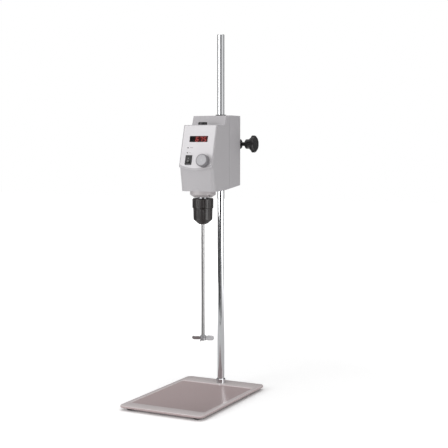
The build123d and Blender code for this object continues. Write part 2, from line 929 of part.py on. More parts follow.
def speed_potentiometer():
    back = -wall - seat_gap
    pot = panel_hole(knob_x, knob_down, pot_body_diameter, back - pot_body_depth, back)
    pot += panel_hole(knob_x, knob_down, pot_bush_diameter, back, pot_nut_height + pot_bush_end)
    tab_down = knob_down - pot_body_diameter / 2 - pot_tab_out
    for across in (-pot_tab_spacing, 0.0, pot_tab_spacing):
        pot += on_panel(knob_x + across, tab_down, back - pot_tab_back) * Box(*pot_tab_size)
    shaft_hole = pot_shaft_diameter + 2 * running_clearance
    low = back - pot_body_depth + pot_floor
    return pot - panel_hole(knob_x, knob_down, shaft_hole, low, knob_height)


def potentiometer_nut():
    nut = on_panel(knob_x, knob_down, 0) * hexagon(pot_nut_across, pot_nut_height)
    hole = pot_bush_diameter + 2 * seat_gap
    return nut - panel_hole(knob_x, knob_down, hole, -overcut, pot_nut_height + overcut)


def potentiometer_shaft():
    low = -wall - pot_body_depth + pot_floor
    high = knob_lift + knob_height - knob_bore_end - seat_gap
    return panel_hole(knob_x, knob_down, pot_shaft_diameter, low, high)


def knob_grip():
    place = on_panel(knob_x, knob_down, knob_lift)
    grip = Cylinder(knob_diameter / 2, knob_height, align=(Align.CENTER, Align.CENTER, Align.MIN))
    grip = chamfer(grip.edges().sort_by(Axis.Z)[-1], knob_edge)
    flute = Cylinder(knob_flute_radius, 2 * knob_height)
    ring = knob_diameter / 2 + knob_flute_radius * knob_flute_out
    grip -= [Rot(0, 0, 360 * i / knob_flutes) * Pos(ring, 0, 0) * flute for i in range(knob_flutes)]
    nut_room = pot_nut_across / sqrt(3) + knob_nut_room
    grip -= upright(0, 0, -overcut, knob_nut_room_height, nut_room)
    grip -= upright(0, 0, -overcut, knob_hollow_height, knob_diameter / 2 - knob_rim_wall)
    shaft_hole = pot_shaft_diameter / 2 + running_clearance
    grip -= upright(0, 0, -overcut, knob_height - knob_bore_end, shaft_hole)
    seat = knob_face_diameter / 2 + running_clearance
    grip -= upright(0, 0, knob_height - knob_face_thickness, knob_height + overcut, seat)
    return place * grip


def knob_face():
    top = knob_lift + knob_height
    disc = panel_hole(knob_x, knob_down, knob_face_diameter, top - knob_face_thickness, top)
    mark_down = knob_down - knob_face_diameter / 2 + knob_mark_inset
    return disc - on_panel(knob_x, mark_down, top) * Box(*knob_mark_size)


def through_hole_cap():
    plug_low = ledge_z - cap_plug_length
    cap = upright(0, spindle_y, ledge_z, ledge_z + cap_height, cap_diameter / 2)
    cap = fillet(cap.edges().sort_by(Axis.Z)[-1], cap_edge_round)
    cap += upright(0, spindle_y, plug_low, ledge_z, cap_plug_diameter / 2)
    bore_top = ledge_z + cap_bore_rise
    return cap - upright(0, spindle_y, plug_low - overcut, bore_top, cap_plug_bore / 2)


# Spindle, bearings and the bearing housing under the head

def bearing_housing():
    foot = housing_flange_diameter / 2
    tube = housing_tube_diameter / 2
    seat = bearing_outer / 2 + running_clearance
    inner = seat - bearing_ledge
    mouth = spindle_shoulder_diameter / 2 + spindle_mouth_gap
    body = turned([
        (mouth, cone_bottom), (housing_cone_diameter / 2, cone_bottom), (foot, flange_bottom),
        (foot, head_bottom), (tube, head_bottom), (tube, tube_top), (seat, tube_top),
        (seat, upper_bearing_z), (inner, upper_bearing_z),
        (inner, lower_bearing_z + bearing_width), (seat, lower_bearing_z + bearing_width),
        (seat, seal_bottom), (mouth, seal_bottom),
    ], 0, spindle_y)
    outer_rim = body.edges().filter_by(
        lambda edge: edge.radius > foot - 0.1 if edge.geom_type == GeomType.CIRCLE else False
    )
    body = fillet(outer_rim.sort_by(Axis.Z)[0], housing_flange_round)
    for x, y in spacer_places():
        body -= upright(x, y, 0, rod_top, mount_screw_diameter / 2 + seat_gap)
        head_room = flange_bottom + mount_screw_head_height
        body -= upright(x, y, 0, head_room, mount_screw_head_diameter / 2 + seat_gap)
    return body


def mount_screws():
    screws = []
    seat = flange_bottom + mount_screw_head_height
    for x, y in spacer_places():
        low = seat - mount_screw_head_height
        screw = upright(x, y, low, seat, mount_screw_head_diameter / 2)
        screw += upright(x, y, seat, deck_top - mount_screw_end, mount_screw_diameter / 2)
        screw -= Pos(x, y, low) * hexagon(mount_screw_socket_across, mount_screw_socket_depth)
        screws.append(screw)
    return screws


def deck_spacers():
    spacers = []
    for x, y in spacer_places():
        spacer = upright(x, y, pad_top, deck_bottom, spacer_diameter / 2)
        spacers.append(spacer - upright(x, y, 0, rod_top, mount_screw_diameter / 2 + seat_gap))
    return spacers


def spindle_seal():
    outer = bearing_outer / 2
    inner = spindle_journal / 2 + seat_gap
    high = lower_bearing_z - running_clearance
    return turned([(inner, seal_bottom), (outer, seal_bottom), (outer, high), (inner, high)], 0, spindle_y)


def bearing_outer_rings():
    rings = []
    outer = bearing_outer / 2
    shield = spindle_journal / 2 + bearing_race + bearing_shield_gap
    groove = outer - bearing_race
    for low in (lower_bearing_z, upper_bearing_z):
        high = low + bearing_width
        rings.append(turned([
            (outer, low), (outer, high), (shield, high), (shield, high - bearing_shield),
            (groove, high - bearing_shield), (groove, low + bearing_shield),
            (shield, low + bearing_shield), (shield, low),
        ], 0, spindle_y))
    return rings


def bearing_inner_rings():
    rings = []
    inner = spindle_journal / 2 + running_clearance / 2
    race = spindle_journal / 2 + bearing_race
    for low in (lower_bearing_z, upper_bearing_z):
        high = low + bearing_width
        rings.append(turned([(inner, low), (race, low), (race, high), (inner, high)], 0, spindle_y))
    return rings


def hollow_spindle():
    bore = spindle_bore / 2
    nose = spindle_nose / 2
    shoulder = spindle_shoulder_diameter / 2
    journal = spindle_journal / 2
    upper = spindle_upper / 2
    shoulder_top = lower_bearing_z - running_clearance
    step = seal_bottom - running_clearance
    body = turned([
        (bore, chuck_top - spindle_nose_length), (nose, chuck_top - spindle_nose_length),
        (nose, chuck_top), (shoulder, chuck_top), (shoulder, step), (journal, step),
        (journal, pulley_top), (upper, pulley_top), (upper, spindle_top), (bore, spindle_top),
    ], 0, spindle_y)
    flat = shoulder - spanner_flat_depth
    high = cone_bottom - 2 * seat_gap
    below = upright(0, spindle_y, chuck_top, high, 2 * shoulder)
    return body - (below - block(-flat, flat, spindle_y - shoulder, spindle_y + shoulder, 0, rod_top))


def pulley(teeth, y, bore):
    low = pulley_bottom
    pitch_radius = teeth * belt_pitch / (2 * pi)
    rim = pitch_radius - belt_gap
    lip = pitch_radius + pulley_flange_lip
    wheel = turned([
        (bore, low), (lip, low), (lip, low + pulley_flange), (rim, low + pulley_flange),
        (rim, pulley_top - pulley_flange), (lip, pulley_top - pulley_flange), (lip, pulley_top),
        (bore, pulley_top),
    ], 0, y)
    groove = Box(2 * tooth_depth, belt_pitch * tooth_share, belt_width + 2 * belt_gap)
    middle = (pulley_bottom + pulley_top) / 2
    cuts = [
        Pos(0, y, middle) * Rot(0, 0, 360 * i / teeth) * Pos(rim, 0, 0) * groove
        for i in range(teeth)
    ]
    return wheel - cuts


def driven_pulley():
    return pulley(driven_teeth, spindle_y, spindle_journal / 2 + running_clearance / 2)


def driver_pulley():
    return pulley(driver_teeth, motor_y, motor_shaft_diameter / 2 + running_clearance / 2)


def belt_loop(extra):
    driven = Pos(0, spindle_y) * Circle(driven_radius + extra)
    driver = Pos(0, motor_y) * Circle(driver_radius + extra)
    return make_hull(driven.edges() + driver.edges())


def timing_belt():
    loop = extrude(belt_loop(belt_thickness), belt_width) - extrude(belt_loop(0.0), belt_width)
    return Pos(0, 0, belt_bottom) * loop


def retaining_ring():
    inner = spindle_upper / 2 + seat_gap
    outer = spindle_journal / 2 + ring_lip
    high = pulley_top + ring_thickness
    return turned([(inner, pulley_top), (outer, pulley_top), (outer, high), (inner, high)], 0, spindle_y)


# Motor and the deck that carries it

def motor_deck():
    half = deck_width / 2
    deck = block(-half, half, deck_front_y, deck_back_y, deck_bottom, deck_top)
    deck = fillet(deck.edges().filter_by(Axis.Z), deck_corner_radius)
    deck -= upright(0, spindle_y, 0, rod_top, spindle_journal / 2 + deck_journal_gap)
    deck -= upright(0, motor_y, 0, rod_top, motor_boss_radius + seat_gap)
    deck -= upright(0, 0, 0, rod_top, clamp_bore + deck_rod_gap)
    for x, y in spacer_places():
        bite = deck_top - mount_screw_end + seat_gap
        deck -= upright(x, y, 0, bite, mount_screw_diameter / 2 + seat_gap)
    for x in (-motor_screw_x, motor_screw_x):
        deck -= upright(x, motor_y, 0, rod_top, motor_screw_diameter / 2 + seat_gap)
    for x, y in clamp_screw_places():
        deck -= upright(x, y, 0, rod_top, clamp_screw_diameter / 2 + seat_gap)
    return deck


def motor_case():
    outer = motor_diameter / 2
    boss = motor_boss_radius
    shaft_hole = motor_shaft_diameter / 2 + running_clearance
    inner = outer - motor_case_wall
    floor = deck_top + motor_floor
    boss_low = deck_bottom + motor_boss_gap
    case = turned([
        (shaft_hole, boss_low), (boss, boss_low), (boss, deck_top), (outer, deck_top),
        (outer, motor_top), (inner, motor_top), (inner, floor), (shaft_hole, floor),
    ], 0, motor_y)
    for x in (-motor_screw_x, motor_screw_x):
        case -= upright(x, motor_y, deck_top, floor, motor_screw_diameter / 2 + seat_gap)
    return case


def motor_end_cap():
    outer = motor_diameter / 2
    inner = outer - motor_case_wall - seat_gap
    shaft_hole = motor_shaft_diameter / 2 + running_clearance
    hub = end_cap_hub_diameter / 2
    plug_low = motor_top - end_cap_plug
    rim_top = motor_top + end_cap_rim
    hub_top = motor_top + end_cap_hub_height
    return turned([
        (shaft_hole, plug_low), (inner, plug_low), (inner, motor_top), (outer, motor_top),
        (outer, rim_top), (hub, rim_top), (hub, hub_top), (shaft_hole, hub_top),
    ], 0, motor_y)


def motor_magnets():
    magnets = []
    outer = motor_diameter / 2 - motor_case_wall - seat_gap
    inner = outer - magnet_thickness
    low = deck_top + magnet_low
    high = motor_top - magnet_top_drop
    ring = turned([(inner, low), (outer, low), (outer, high), (inner, high)], 0, motor_y)
    reach = motor_diameter
    for low_x, high_x in ((-reach, -magnet_split / 2), (magnet_split / 2, reach)):
        side = block(low_x, high_x, motor_y - reach, motor_y + reach, deck_top, motor_top)
        magnets.append(ring & side)
    return magnets


def motor_rotor():
    shaft_top = motor_top + motor_shaft_end
    shaft = upright(0, motor_y, pulley_bottom, shaft_top, motor_shaft_diameter / 2)
    core_radius = (
        motor_diameter / 2 - motor_case_wall - seat_gap - magnet_thickness - rotor_air_gap
    )
    core = upright(0, motor_y, deck_top + rotor_low, motor_top - rotor_top_drop, core_radius)
    slot = Box(2 * rotor_slot_depth, rotor_slot_width, 2 * motor_length)
    slots = [
        Pos(0, motor_y, deck_top) * Rot(0, 0, 360 * i / rotor_slots) * Pos(core_radius, 0, 0) * slot
        for i in range(rotor_slots)
    ]
    low = motor_top - commutator_low_drop
    high = motor_top - commutator_top_drop
    commutator = upright(0, motor_y, low, high, commutator_diameter / 2)
    return shaft + (core - slots) + commutator


def motor_screws():
    screws = []
    low = deck_bottom - motor_screw_head_height
    tip = deck_top + motor_floor - 2 * seat_gap
    for x in (-motor_screw_x, motor_screw_x):
        screw = upright(x, motor_y, low, deck_bottom, motor_screw_head_diameter / 2)
        screw += upright(x, motor_y, deck_bottom, tip, motor_screw_diameter / 2)
        screws.append(screw)
    return screws


# Clamp that holds the head on the stand rod

def clamp_screw_places():
    for x in (-clamp_screw_x, clamp_screw_x):
        yield x, clamp_screw_y


def clamp_block():
    ring = clamp_bore + clamp_ring_wall
    inner_back = head_back_y - wall - clamp_block_gap
    body = upright(0, 0, deck_top, clamp_block_top, ring)
    body += block(-ring, ring, 0, inner_back, deck_top, clamp_block_top)
    body -= block(-ring, ring, inner_back, inner_back + ring, 0, rod_top)
    low_z = clamp_z - lug_height / 2
    high_z = clamp_z + lug_height / 2
    lugs = block(-lug_outer_x, lug_outer_x, inner_back - lug_root, clamp_axis_y, low_z, high_z)
    lugs += crosswise(-lug_outer_x, lug_outer_x, clamp_axis_y, clamp_z, lug_height / 2)
    body += lugs
    body -= upright(0, 0, 0, rod_top, clamp_bore)
    half_slit = clamp_slit / 2
    body -= block(-half_slit, half_slit, 0, plate_width, 0, rod_top)
    stud_hole = clamp_stud_diameter / 2 + loose_clearance
    body -= crosswise(-plate_width, plate_width, clamp_axis_y, clamp_z, stud_hole)
    nut_pocket = Pos(-lug_outer_x - overcut, clamp_axis_y, clamp_z) * Rot(0, 90, 0)
    pocket_depth = clamp_nut_height + seat_gap + overcut
    body -= nut_pocket * hexagon(clamp_nut_across + 2 * seat_gap, pocket_depth)
    for x, y in clamp_screw_places():
        bite = deck_top + clamp_screw_bite + overcut
        body -= upright(x, y, 0, bite, clamp_screw_diameter / 2 + seat_gap)
    return body


def clamp_block_screws():
    screws = []
    low = deck_bottom - clamp_screw_head_height
    for x, y in clamp_screw_places():
        screw = upright(x, y, low, deck_bottom, clamp_screw_head_diameter / 2)
        screw += upright(x, y, deck_bottom, deck_top + clamp_screw_bite, clamp_screw_diameter / 2)
        screws.append(screw)
    return screws


def clamp_liner():
    inner = rod_radius + running_clearance
    low = deck_top + liner_lift
    liner = turned([
        (inner, low), (liner_outer, low), (liner_outer, clamp_block_top), (inner, clamp_block_top),
    ])
    return liner - block(-liner_slit / 2, liner_slit / 2, 0, plate_width, 0, rod_top)


def clamp_nut():
    place = Pos(-lug_outer_x, clamp_axis_y, clamp_z) * Rot(0, 90, 0)
    nut = place * hexagon(clamp_nut_across, clamp_nut_height)
    hole = clamp_stud_diameter / 2 + running_clearance
    return nut - crosswise(-plate_width, 0, clamp_axis_y, clamp_z, hole)


def clamp_washer():
    washer = crosswise(washer_inner_x, washer_outer_x, clamp_axis_y, clamp_z, clamp_washer_diameter / 2)
    hole = clamp_stud_diameter / 2 + running_clearance
    return washer - crosswise(0, plate_width, clamp_axis_y, clamp_z, hole)


def clamp_stud():
    low = washer_outer_x + running_clearance
    end = -lug_outer_x - clamp_stud_end
    neck_end = star_inner_x + clamp_stud_bite
    stud = crosswise(low, collar_outer_x, clamp_axis_y, clamp_z, clamp_washer_diameter / 2)
    stud = chamfer(stud.edges().filter_by(GeomType.CIRCLE), clamp_collar_edge)
    stud += crosswise(end, low, clamp_axis_y, clamp_z, clamp_stud_diameter / 2)
    stud += crosswise(collar_outer_x, neck_end, clamp_axis_y, clamp_z, clamp_neck_diameter / 2)
    return stud


def star_knob():
    hub = star_hub_diameter / 2
    rim = star_diameter / 2
    shoulder = star_length - star_rim_thickness
    body = turned([
        (0, 0), (hub - star_hub_edge, 0), (hub, star_hub_edge), (hub, star_hub_length),
        (hub + star_hub_flare, shoulder - star_edge), (rim - star_edge, shoulder),
        (rim, shoulder + star_edge), (rim, star_length - star_face_round),
        (rim - star_edge, star_length - star_edge), (rim - star_face_round, star_length),
        (0, star_length),
    ])
    notch = Cylinder(star_gap_radius, 4 * star_length)
    reach = rim + star_gap_radius * star_gap_out
    for i in range(star_lobes):
        body -= Rot(0, 0, 360 * (i + 0.5) / star_lobes) * Pos(reach, 0, 0) * notch
    bore = clamp_neck_diameter / 2 + running_clearance
    body -= upright(0, 0, -overcut, clamp_stud_bite + seat_gap, bore)
    return Pos(star_inner_x, clamp_axis_y, clamp_z) * Rot(0, 90, 0) * body


def rod_bushes():
    bushes = []
    inner = rod_radius + loose_clearance
    outer = rod_bush_radius
    lip = outer + rod_bush_lip
    seat = head_top + seat_gap
    low = head_top - rod_bush_depth
    high = seat + rod_bush_lip_height
    bushes.append(turned([
        (inner, low), (outer, low), (outer, seat), (lip, seat), (lip, high), (inner, high),
    ]))
    ramp = bottom_rise / (head_back_y - bottom_kink_y)
    seat = head_bottom - (bottom_kink_y + lip) * ramp - seat_gap
    low = seat - rod_bush_lip_height
    high = seat + rod_bush_depth
    bushes.append(turned([
        (inner, low), (lip, low), (lip, seat), (outer, seat), (outer, high), (inner, high),
    ]))
    return bushes


# Three-jaw keyless chuck on the spindle nose

def jaw_axis_radius(z):
    return jaw_nose_radius + (z - chuck_bottom - jaw_nose_up) * tan(radians(jaw_angle))


def jaw_reach():
    return jaw_diameter / 2 / cos(radians(jaw_angle))


def jaw_cylinder(radius, low, high):
    length = (high - low) / cos(radians(jaw_angle))
    place = Pos(jaw_axis_radius(low), 0, low) * Rot(0, jaw_angle, 0)
    return place * Cylinder(radius, length, align=(Align.CENTER, Align.CENTER, Align.MIN))


def about_chuck(turn, shape):
    return Pos(0, spindle_y, 0) * Rot(0, 0, turn) * shape


def chuck_jaw(turn):
    high = jaw_low + jaw_height
    jaw = jaw_cylinder(jaw_diameter / 2, jaw_low - jaw_diameter, high)
    jaw &= upright(0, 0, jaw_low, high + jaw_diameter, chuck_nut_diameter)
    grip = shank_diameter / 2 + running_clearance / 2
    jaw -= block(-chuck_nut_diameter, grip, -jaw_diameter, jaw_diameter, 0, rod_top)
    z = chuck_nut_low - jaw_thread_pitch / 2
    while z < chuck_nut_low + chuck_nut_height + jaw_thread_pitch / 2:
        edge = jaw_axis_radius(z) + jaw_reach()
        flank = 4 * jaw_thread_depth
        jaw -= turned([
            (edge - jaw_thread_depth, z), (edge + flank, z - jaw_thread_pitch / 2),
            (edge + flank, z + jaw_thread_pitch / 2),
        ])
        z += jaw_thread_pitch
    return about_chuck(turn, jaw)


def chuck_body():
    bore = spindle_bore / 2
    core = chuck_core_diameter / 2
    collar = chuck_collar_diameter / 2
    collar_low = chuck_nut_low + chuck_nut_height + loose_clearance
    collar_high = chuck_top - rear_sleeve_length + sleeve_step
    thread = spindle_nose / 2 + running_clearance
    socket_low = chuck_top - spindle_nose_length - seat_gap
    low = chuck_bottom + jaw_nose_up
    body = turned([
        (bore, low), (jaw_axis_radius(low) + chuck_skirt_wall, low),
        (jaw_axis_radius(collar_low) + chuck_skirt_wall, collar_low), (collar, collar_low),
        (collar, collar_high), (core, collar_high), (core, chuck_top), (thread, chuck_top),
        (thread, socket_low), (bore, socket_low),
    ])
    bore_top = jaw_low + jaw_height + jaw_travel + jaw_nose_up
    for turn in jaw_turns:
        jaw_bore = jaw_cylinder(jaw_diameter / 2 + seat_gap, jaw_low - jaw_diameter, bore_top)
        body -= Rot(0, 0, turn) * jaw_bore
    return Pos(0, spindle_y, 0) * body


def fluted(sleeve, radius, low, high):
    groove = upright(0, 0, low, high, sleeve_flute_radius)
    ring = radius + sleeve_flute_radius - sleeve_flute_depth
    cuts = [
        Rot(0, 0, 360 * i / sleeve_flutes) * Pos(ring, 0, 0) * groove
        for i in range(sleeve_flutes)
    ]
    return sleeve - cuts


def chuck_rear_sleeve():
    outer = rear_sleeve_diameter / 2
    inner = chuck_core_diameter / 2 + running_clearance
    low = chuck_top - rear_sleeve_length
    collar = chuck_collar_diameter / 2 + running_clearance
    step = low + sleeve_step + running_clearance
    crown = outer - 3 * sleeve_edge
    recess = inner + 6 * sleeve_edge
    recess_low = chuck_top - 2 * sleeve_edge
    sleeve = turned([
        (collar, low), (outer - sleeve_edge, low), (outer, low + sleeve_edge),
        (outer, chuck_top - 3 * sleeve_edge), (crown, chuck_top), (recess, chuck_top),
        (recess, recess_low), (inner, recess_low), (inner, step), (collar, step),
    ])
    flutes_low = low + 4 * sleeve_edge
    return Pos(0, spindle_y, 0) * fluted(sleeve, outer, flutes_low, chuck_top - 6 * sleeve_edge)


def chuck_front_sleeve():
    top = chuck_top - rear_sleeve_length - sleeve_gap
    outer = front_sleeve_diameter / 2
    waist = outer - front_sleeve_taper
    waist_z = chuck_bottom + nose_cone_height
    nose_z = chuck_bottom + jaw_nose_up
    nut = chuck_nut_diameter / 2 + running_clearance
    nut_low = chuck_nut_low - running_clearance
    nose_inner = jaw_axis_radius(nose_z) + jaw_reach() + jaw_line_clearance
    seat_inner = jaw_axis_radius(nut_low) + jaw_reach() + jaw_line_clearance
    sleeve = turned([
        (nose_inner, nose_z), (nose_inner + chuck_nose_wall, nose_z), (waist, waist_z),
        (outer, top - sleeve_edge), (outer - sleeve_edge, top), (nut, top), (nut, nut_low),
        (seat_inner, nut_low),
    ])
    flutes_low = waist_z + 2 * sleeve_edge
    return Pos(0, spindle_y, 0) * fluted(sleeve, outer, flutes_low, top - 3 * sleeve_edge)


def chuck_nut():
    outer = chuck_nut_diameter / 2
    low = chuck_nut_low
    high = low + chuck_nut_height
    clear = jaw_reach() + seat_gap
    ring = turned([
        (jaw_axis_radius(low) + clear, low), (outer, low), (outer, high),
        (jaw_axis_radius(high) + clear, high),
    ])
    return Pos(0, spindle_y, 0) * ring


# Stirring shaft and propeller

def stirring_shaft():
    shaft = upright(0, spindle_y, shaft_bottom, shaft_top, shank_diameter / 2)
    return chamfer(shaft.edges().filter_by(GeomType.CIRCLE), shank_chamfer)


def blade_outline():
    tip = propeller_diameter / 2
    half = blade_width / 2
    root_x = shank_diameter / 2 + blade_root_gap
    root = half * blade_root_share
    shoulder = tip * blade_shoulder_share
    end = tip * blade_tip_share
    return make_face([
        Line((root_x, -root), (shoulder, -half)),
        Line((shoulder, -half), (end, -half)),
        ThreePointArc((end, -half), (tip, 0), (end, half)),
        Line((end, half), (shoulder, half)),
        Line((shoulder, half), (root_x, root)),
        Line((root_x, root), (root_x, -root)),
    ])


def propeller():
    hub_high = shaft_bottom + propeller_hub_height
    hub = upright(0, 0, shaft_bottom, hub_high, propeller_hub_diameter / 2)
    wheel = chamfer(hub.edges().filter_by(GeomType.CIRCLE), propeller_hub_edge)
    blade = Rot(blade_pitch, 0, 0) * extrude(blade_outline(), blade_thickness / 2, both=True)
    for i in range(blade_count):
        turn = blade_turn + 360 * i / blade_count
        wheel += Pos(0, 0, propeller_z) * Rot(0, 0, turn) * blade
    wheel -= upright(0, 0, 0, rod_top, shank_diameter / 2 + running_clearance / 2)
    place = Pos(0, 0, grub_z) * Rot(0, 0, grub_turn) * Rot(0, 90, 0)
    wheel -= place * upright(0, 0, 0, propeller_hub_diameter, grub_screw_diameter / 2 + seat_gap)
    return [Pos(0, spindle_y, 0) * wheel, propeller_grub_screw()]


def propeller_grub_screw():
    reach = propeller_hub_diameter / 2 - loose_clearance
    start = shank_diameter / 2 + running_clearance
    place = Pos(0, spindle_y, grub_z) * Rot(0, 0, grub_turn) * Rot(0, 90, 0)
    screw = upright(0, 0, start, reach, grub_screw_diameter / 2)
    screw -= Pos(0, 0, reach - grub_socket_depth) * hexagon(grub_screw_diameter / 2, reach)
    return place * screw


# Mains inlet, power board and the screws that close the case

def inlet_form(grow, y_low, y_high):
    half_width = inlet_width / 2 + grow
    half_height = inlet_height / 2 + grow
    outline = Polyline(
        (-half_width, -half_height), (half_width, -half_height),
        (half_width, half_height - inlet_corner), (half_width - inlet_corner, half_height),
        (inlet_corner - half_width, half_height), (-half_width, half_height - inlet_corner),
        close=True,
    )
    form = extrude(Plane.XZ * make_face(outline), y_high - y_low)
    return Pos(inlet_x, y_high, inlet_z) * form


def inlet_blades():
    blades = []
    low_y = head_back_y - inlet_depth - inlet_blade_tail
    tip_y = head_back_y - inlet_blade_recess
    half_thick = inlet_blade_thickness / 2
    half_width = inlet_blade_width / 2
    for across, up in ((-blade_spacing, 0.0), (0.0, earth_offset), (blade_spacing, 0.0)):
        x = inlet_x + across
        z = inlet_z - earth_offset / 2 + up
        blades.append(block(x - half_thick, x + half_thick, low_y, tip_y, z - half_width, z + half_width))
    return blades


def mains_inlet():
    flange_y = head_back_y + inlet_flange
    half_width = inlet_width / 2 + inlet_flange_overhang
    half_height = inlet_height / 2 + inlet_flange_overhang
    flange = block(
        inlet_x - half_width, inlet_x + half_width, head_back_y, flange_y,
        inlet_z - half_height, inlet_z + half_height,
    )
    flange = fillet(flange.edges().filter_by(Axis.Y), inlet_flange_overhang)
    inner_y = head_back_y - inlet_depth
    inlet = flange + inlet_form(0, inner_y, head_back_y)
    inlet -= inlet_form(-inlet_wall, inner_y + inlet_floor, flange_y + overcut)
    blades = inlet_blades()
    return [inlet - blades, *blades]


def power_board():
    x_high = power_board_x + board_thickness
    middle_y = (power_board_front + power_board_back) / 2
    board = block(
        power_board_x, x_high, power_board_front, power_board_back, power_board_low, power_board_top
    )
    reach, depth, height = transformer_size
    first_z = power_board_low + 2 * power_board_inset
    board += block(x_high, x_high + reach, middle_y - depth, middle_y, first_z, first_z + height)
    capacitor_z = first_z + height + power_board_inset
    radius = capacitor_diameter / 2
    board += upright(
        x_high + radius - seat_gap, middle_y - depth / 2, capacitor_z, capacitor_z + capacitor_length,
        radius,
    )
    for y, z in power_board_places():
        hole = board_screw_diameter / 2 + seat_gap
        board -= crosswise(power_board_x - overcut, x_high + overcut, y, z, hole)
    return board


def power_board_screws():
    screws = []
    x_high = power_board_x + board_thickness
    for y, z in power_board_places():
        head = crosswise(x_high, x_high + board_screw_head_height, y, z, board_screw_diameter * 0.9)
        low = power_board_x - power_boss_length + board_screw_end
        screws.append(head + crosswise(low, x_high, y, z, board_screw_diameter / 2))
    return screws


def case_screws():
    screws = []
    recess = (case_recess_length / 2, case_recess_width / 2)
    seat = head_back_y - case_screw_head_height - case_screw_sink
    for x in (-case_screw_x, case_screw_x):
        for z in case_screw_heights:
            high = seat + case_screw_head_height
            head = fore_and_aft(x, seat, high, z, case_screw_head_diameter / 2)
            for half_x, half_z in (recess, reversed(recess)):
                low = high - case_recess_depth
                head -= block(x - half_x, x + half_x, low, high + overcut, z - half_z, z + half_z)
            tip = seam_y - front_boss_length + case_screw_end
            screws.append(head + fore_and_aft(x, tip, seat, z, case_screw_diameter / 2))
    return screws


def all_nodes():
    nodes = {
        "base_plate": base_plate(),
        "base_feet": base_feet(),
        "foot_screws": foot_screws(),
        "stand_rod": stand_rod(),
        "rod_foot_collar": rod_collar(),
        "rod_washer": rod_washer(),
        "rod_screw": rod_screw(),
        "clamp_liner": clamp_liner(),
        "front_housing": front_housing(),
        "rear_housing": rear_housing(),
        "rod_bushes": rod_bushes(),
        "case_screws": case_screws(),
        "panel_overlay": panel_overlay(),
        "display_lens": display_lens(),
        "display_module": display_module(),
        "indicator_lamps": indicator_lamps(),
        "control_board": control_board(),
        "board_screws": board_screws() + power_board_screws(),
        "power_switch": power_switch(),
        "power_rocker": power_rocker(),
        "speed_potentiometer": speed_potentiometer(),
        "potentiometer_nut": potentiometer_nut(),
        "potentiometer_shaft": potentiometer_shaft(),
        "speed_knob": knob_grip(),
        "speed_knob_face": knob_face(),
        "through_hole_cap": through_hole_cap(),
        "bearing_housing": bearing_housing(),
        "housing_mount_screws": mount_screws(),
        "deck_spacers": deck_spacers(),
        "spindle_seal": spindle_seal(),
        "bearing_outer_rings": bearing_outer_rings(),
        "bearing_inner_rings": bearing_inner_rings(),
        "hollow_spindle": hollow_spindle(),
        "driven_pulley": driven_pulley(),
        "retaining_ring": retaining_ring(),
        "timing_belt": timing_belt(),
        "driver_pulley": driver_pulley(),
        "motor_deck": motor_deck(),
        "motor_case": motor_case(),
        "motor_end_cap": motor_end_cap(),
        "motor_magnets": motor_magnets(),
        "motor_rotor": motor_rotor(),
        "motor_screws": motor_screws(),
        "clamp_block": clamp_block(),
        "clamp_block_screws": clamp_block_screws(),
        "clamp_nut": clamp_nut(),
        "clamp_washer": clamp_washer(),
        "clamp_stud": clamp_stud(),
        "clamp_star_knob": star_knob(),
        "chuck_body": chuck_body(),
        "chuck_rear_sleeve": chuck_rear_sleeve(),
        "chuck_front_sleeve": chuck_front_sleeve(),
        "chuck_nut": chuck_nut(),
        "stirring_shaft": stirring_shaft(),
        "propeller": propeller(),
        "mains_inlet": mains_inlet(),
        "power_board": power_board(),
    }
    for number, turn in enumerate(jaw_turns, start=1):
        nodes[f"chuck_jaw_{number}"] = chuck_jaw(turn)
    return nodes


def write_parts():
    os.makedirs("parts", exist_ok=True)
    nodes = all_nodes()
    origin_y = (plate_front_y + nodes["clamp_star_knob"].bounding_box().max.Y) / 2
    print("origin in the drawing frame: Y", round(origin_y, 4))
    for name, shape in nodes.items():
        pieces = shape if isinstance(shape, list) else [shape]
        moved = [Pos(0, -origin_y, 0) * piece for piece in pieces]
        solids = [solid for piece in moved for solid in piece.solids()]
        node = solids[0] if len(solids) == 1 else Compound(children=solids)
        export_step(node, f"parts/{name}.step")


write_parts()
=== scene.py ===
import bmesh
import bpy
import json
from math import cos, pi, radians, sin
from mathutils import Matrix, Vector
from mathutils.bvhtree import BVHTree


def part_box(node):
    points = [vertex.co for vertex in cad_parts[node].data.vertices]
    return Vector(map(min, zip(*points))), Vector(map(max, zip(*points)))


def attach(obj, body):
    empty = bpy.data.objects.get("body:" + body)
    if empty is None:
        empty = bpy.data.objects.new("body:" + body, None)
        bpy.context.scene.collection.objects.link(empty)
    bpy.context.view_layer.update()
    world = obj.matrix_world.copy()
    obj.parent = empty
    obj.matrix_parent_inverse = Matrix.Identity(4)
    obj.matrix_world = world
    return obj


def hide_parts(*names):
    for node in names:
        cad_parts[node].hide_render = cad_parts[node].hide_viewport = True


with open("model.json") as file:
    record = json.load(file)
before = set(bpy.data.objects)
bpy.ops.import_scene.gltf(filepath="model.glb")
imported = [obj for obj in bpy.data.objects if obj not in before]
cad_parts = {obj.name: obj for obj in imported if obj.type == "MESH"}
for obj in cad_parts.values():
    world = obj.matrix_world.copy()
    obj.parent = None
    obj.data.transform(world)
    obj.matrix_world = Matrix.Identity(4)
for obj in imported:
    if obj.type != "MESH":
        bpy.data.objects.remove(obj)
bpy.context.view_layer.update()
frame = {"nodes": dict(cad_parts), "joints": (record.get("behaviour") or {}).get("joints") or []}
nodes = frame["nodes"]
mm = 0.001


# Camera, floor and light
# The stirrer stands on a white sweep and is seen from its front left, from a little below
# the height of its head. The lens sits where the photograph's perspective puts it.

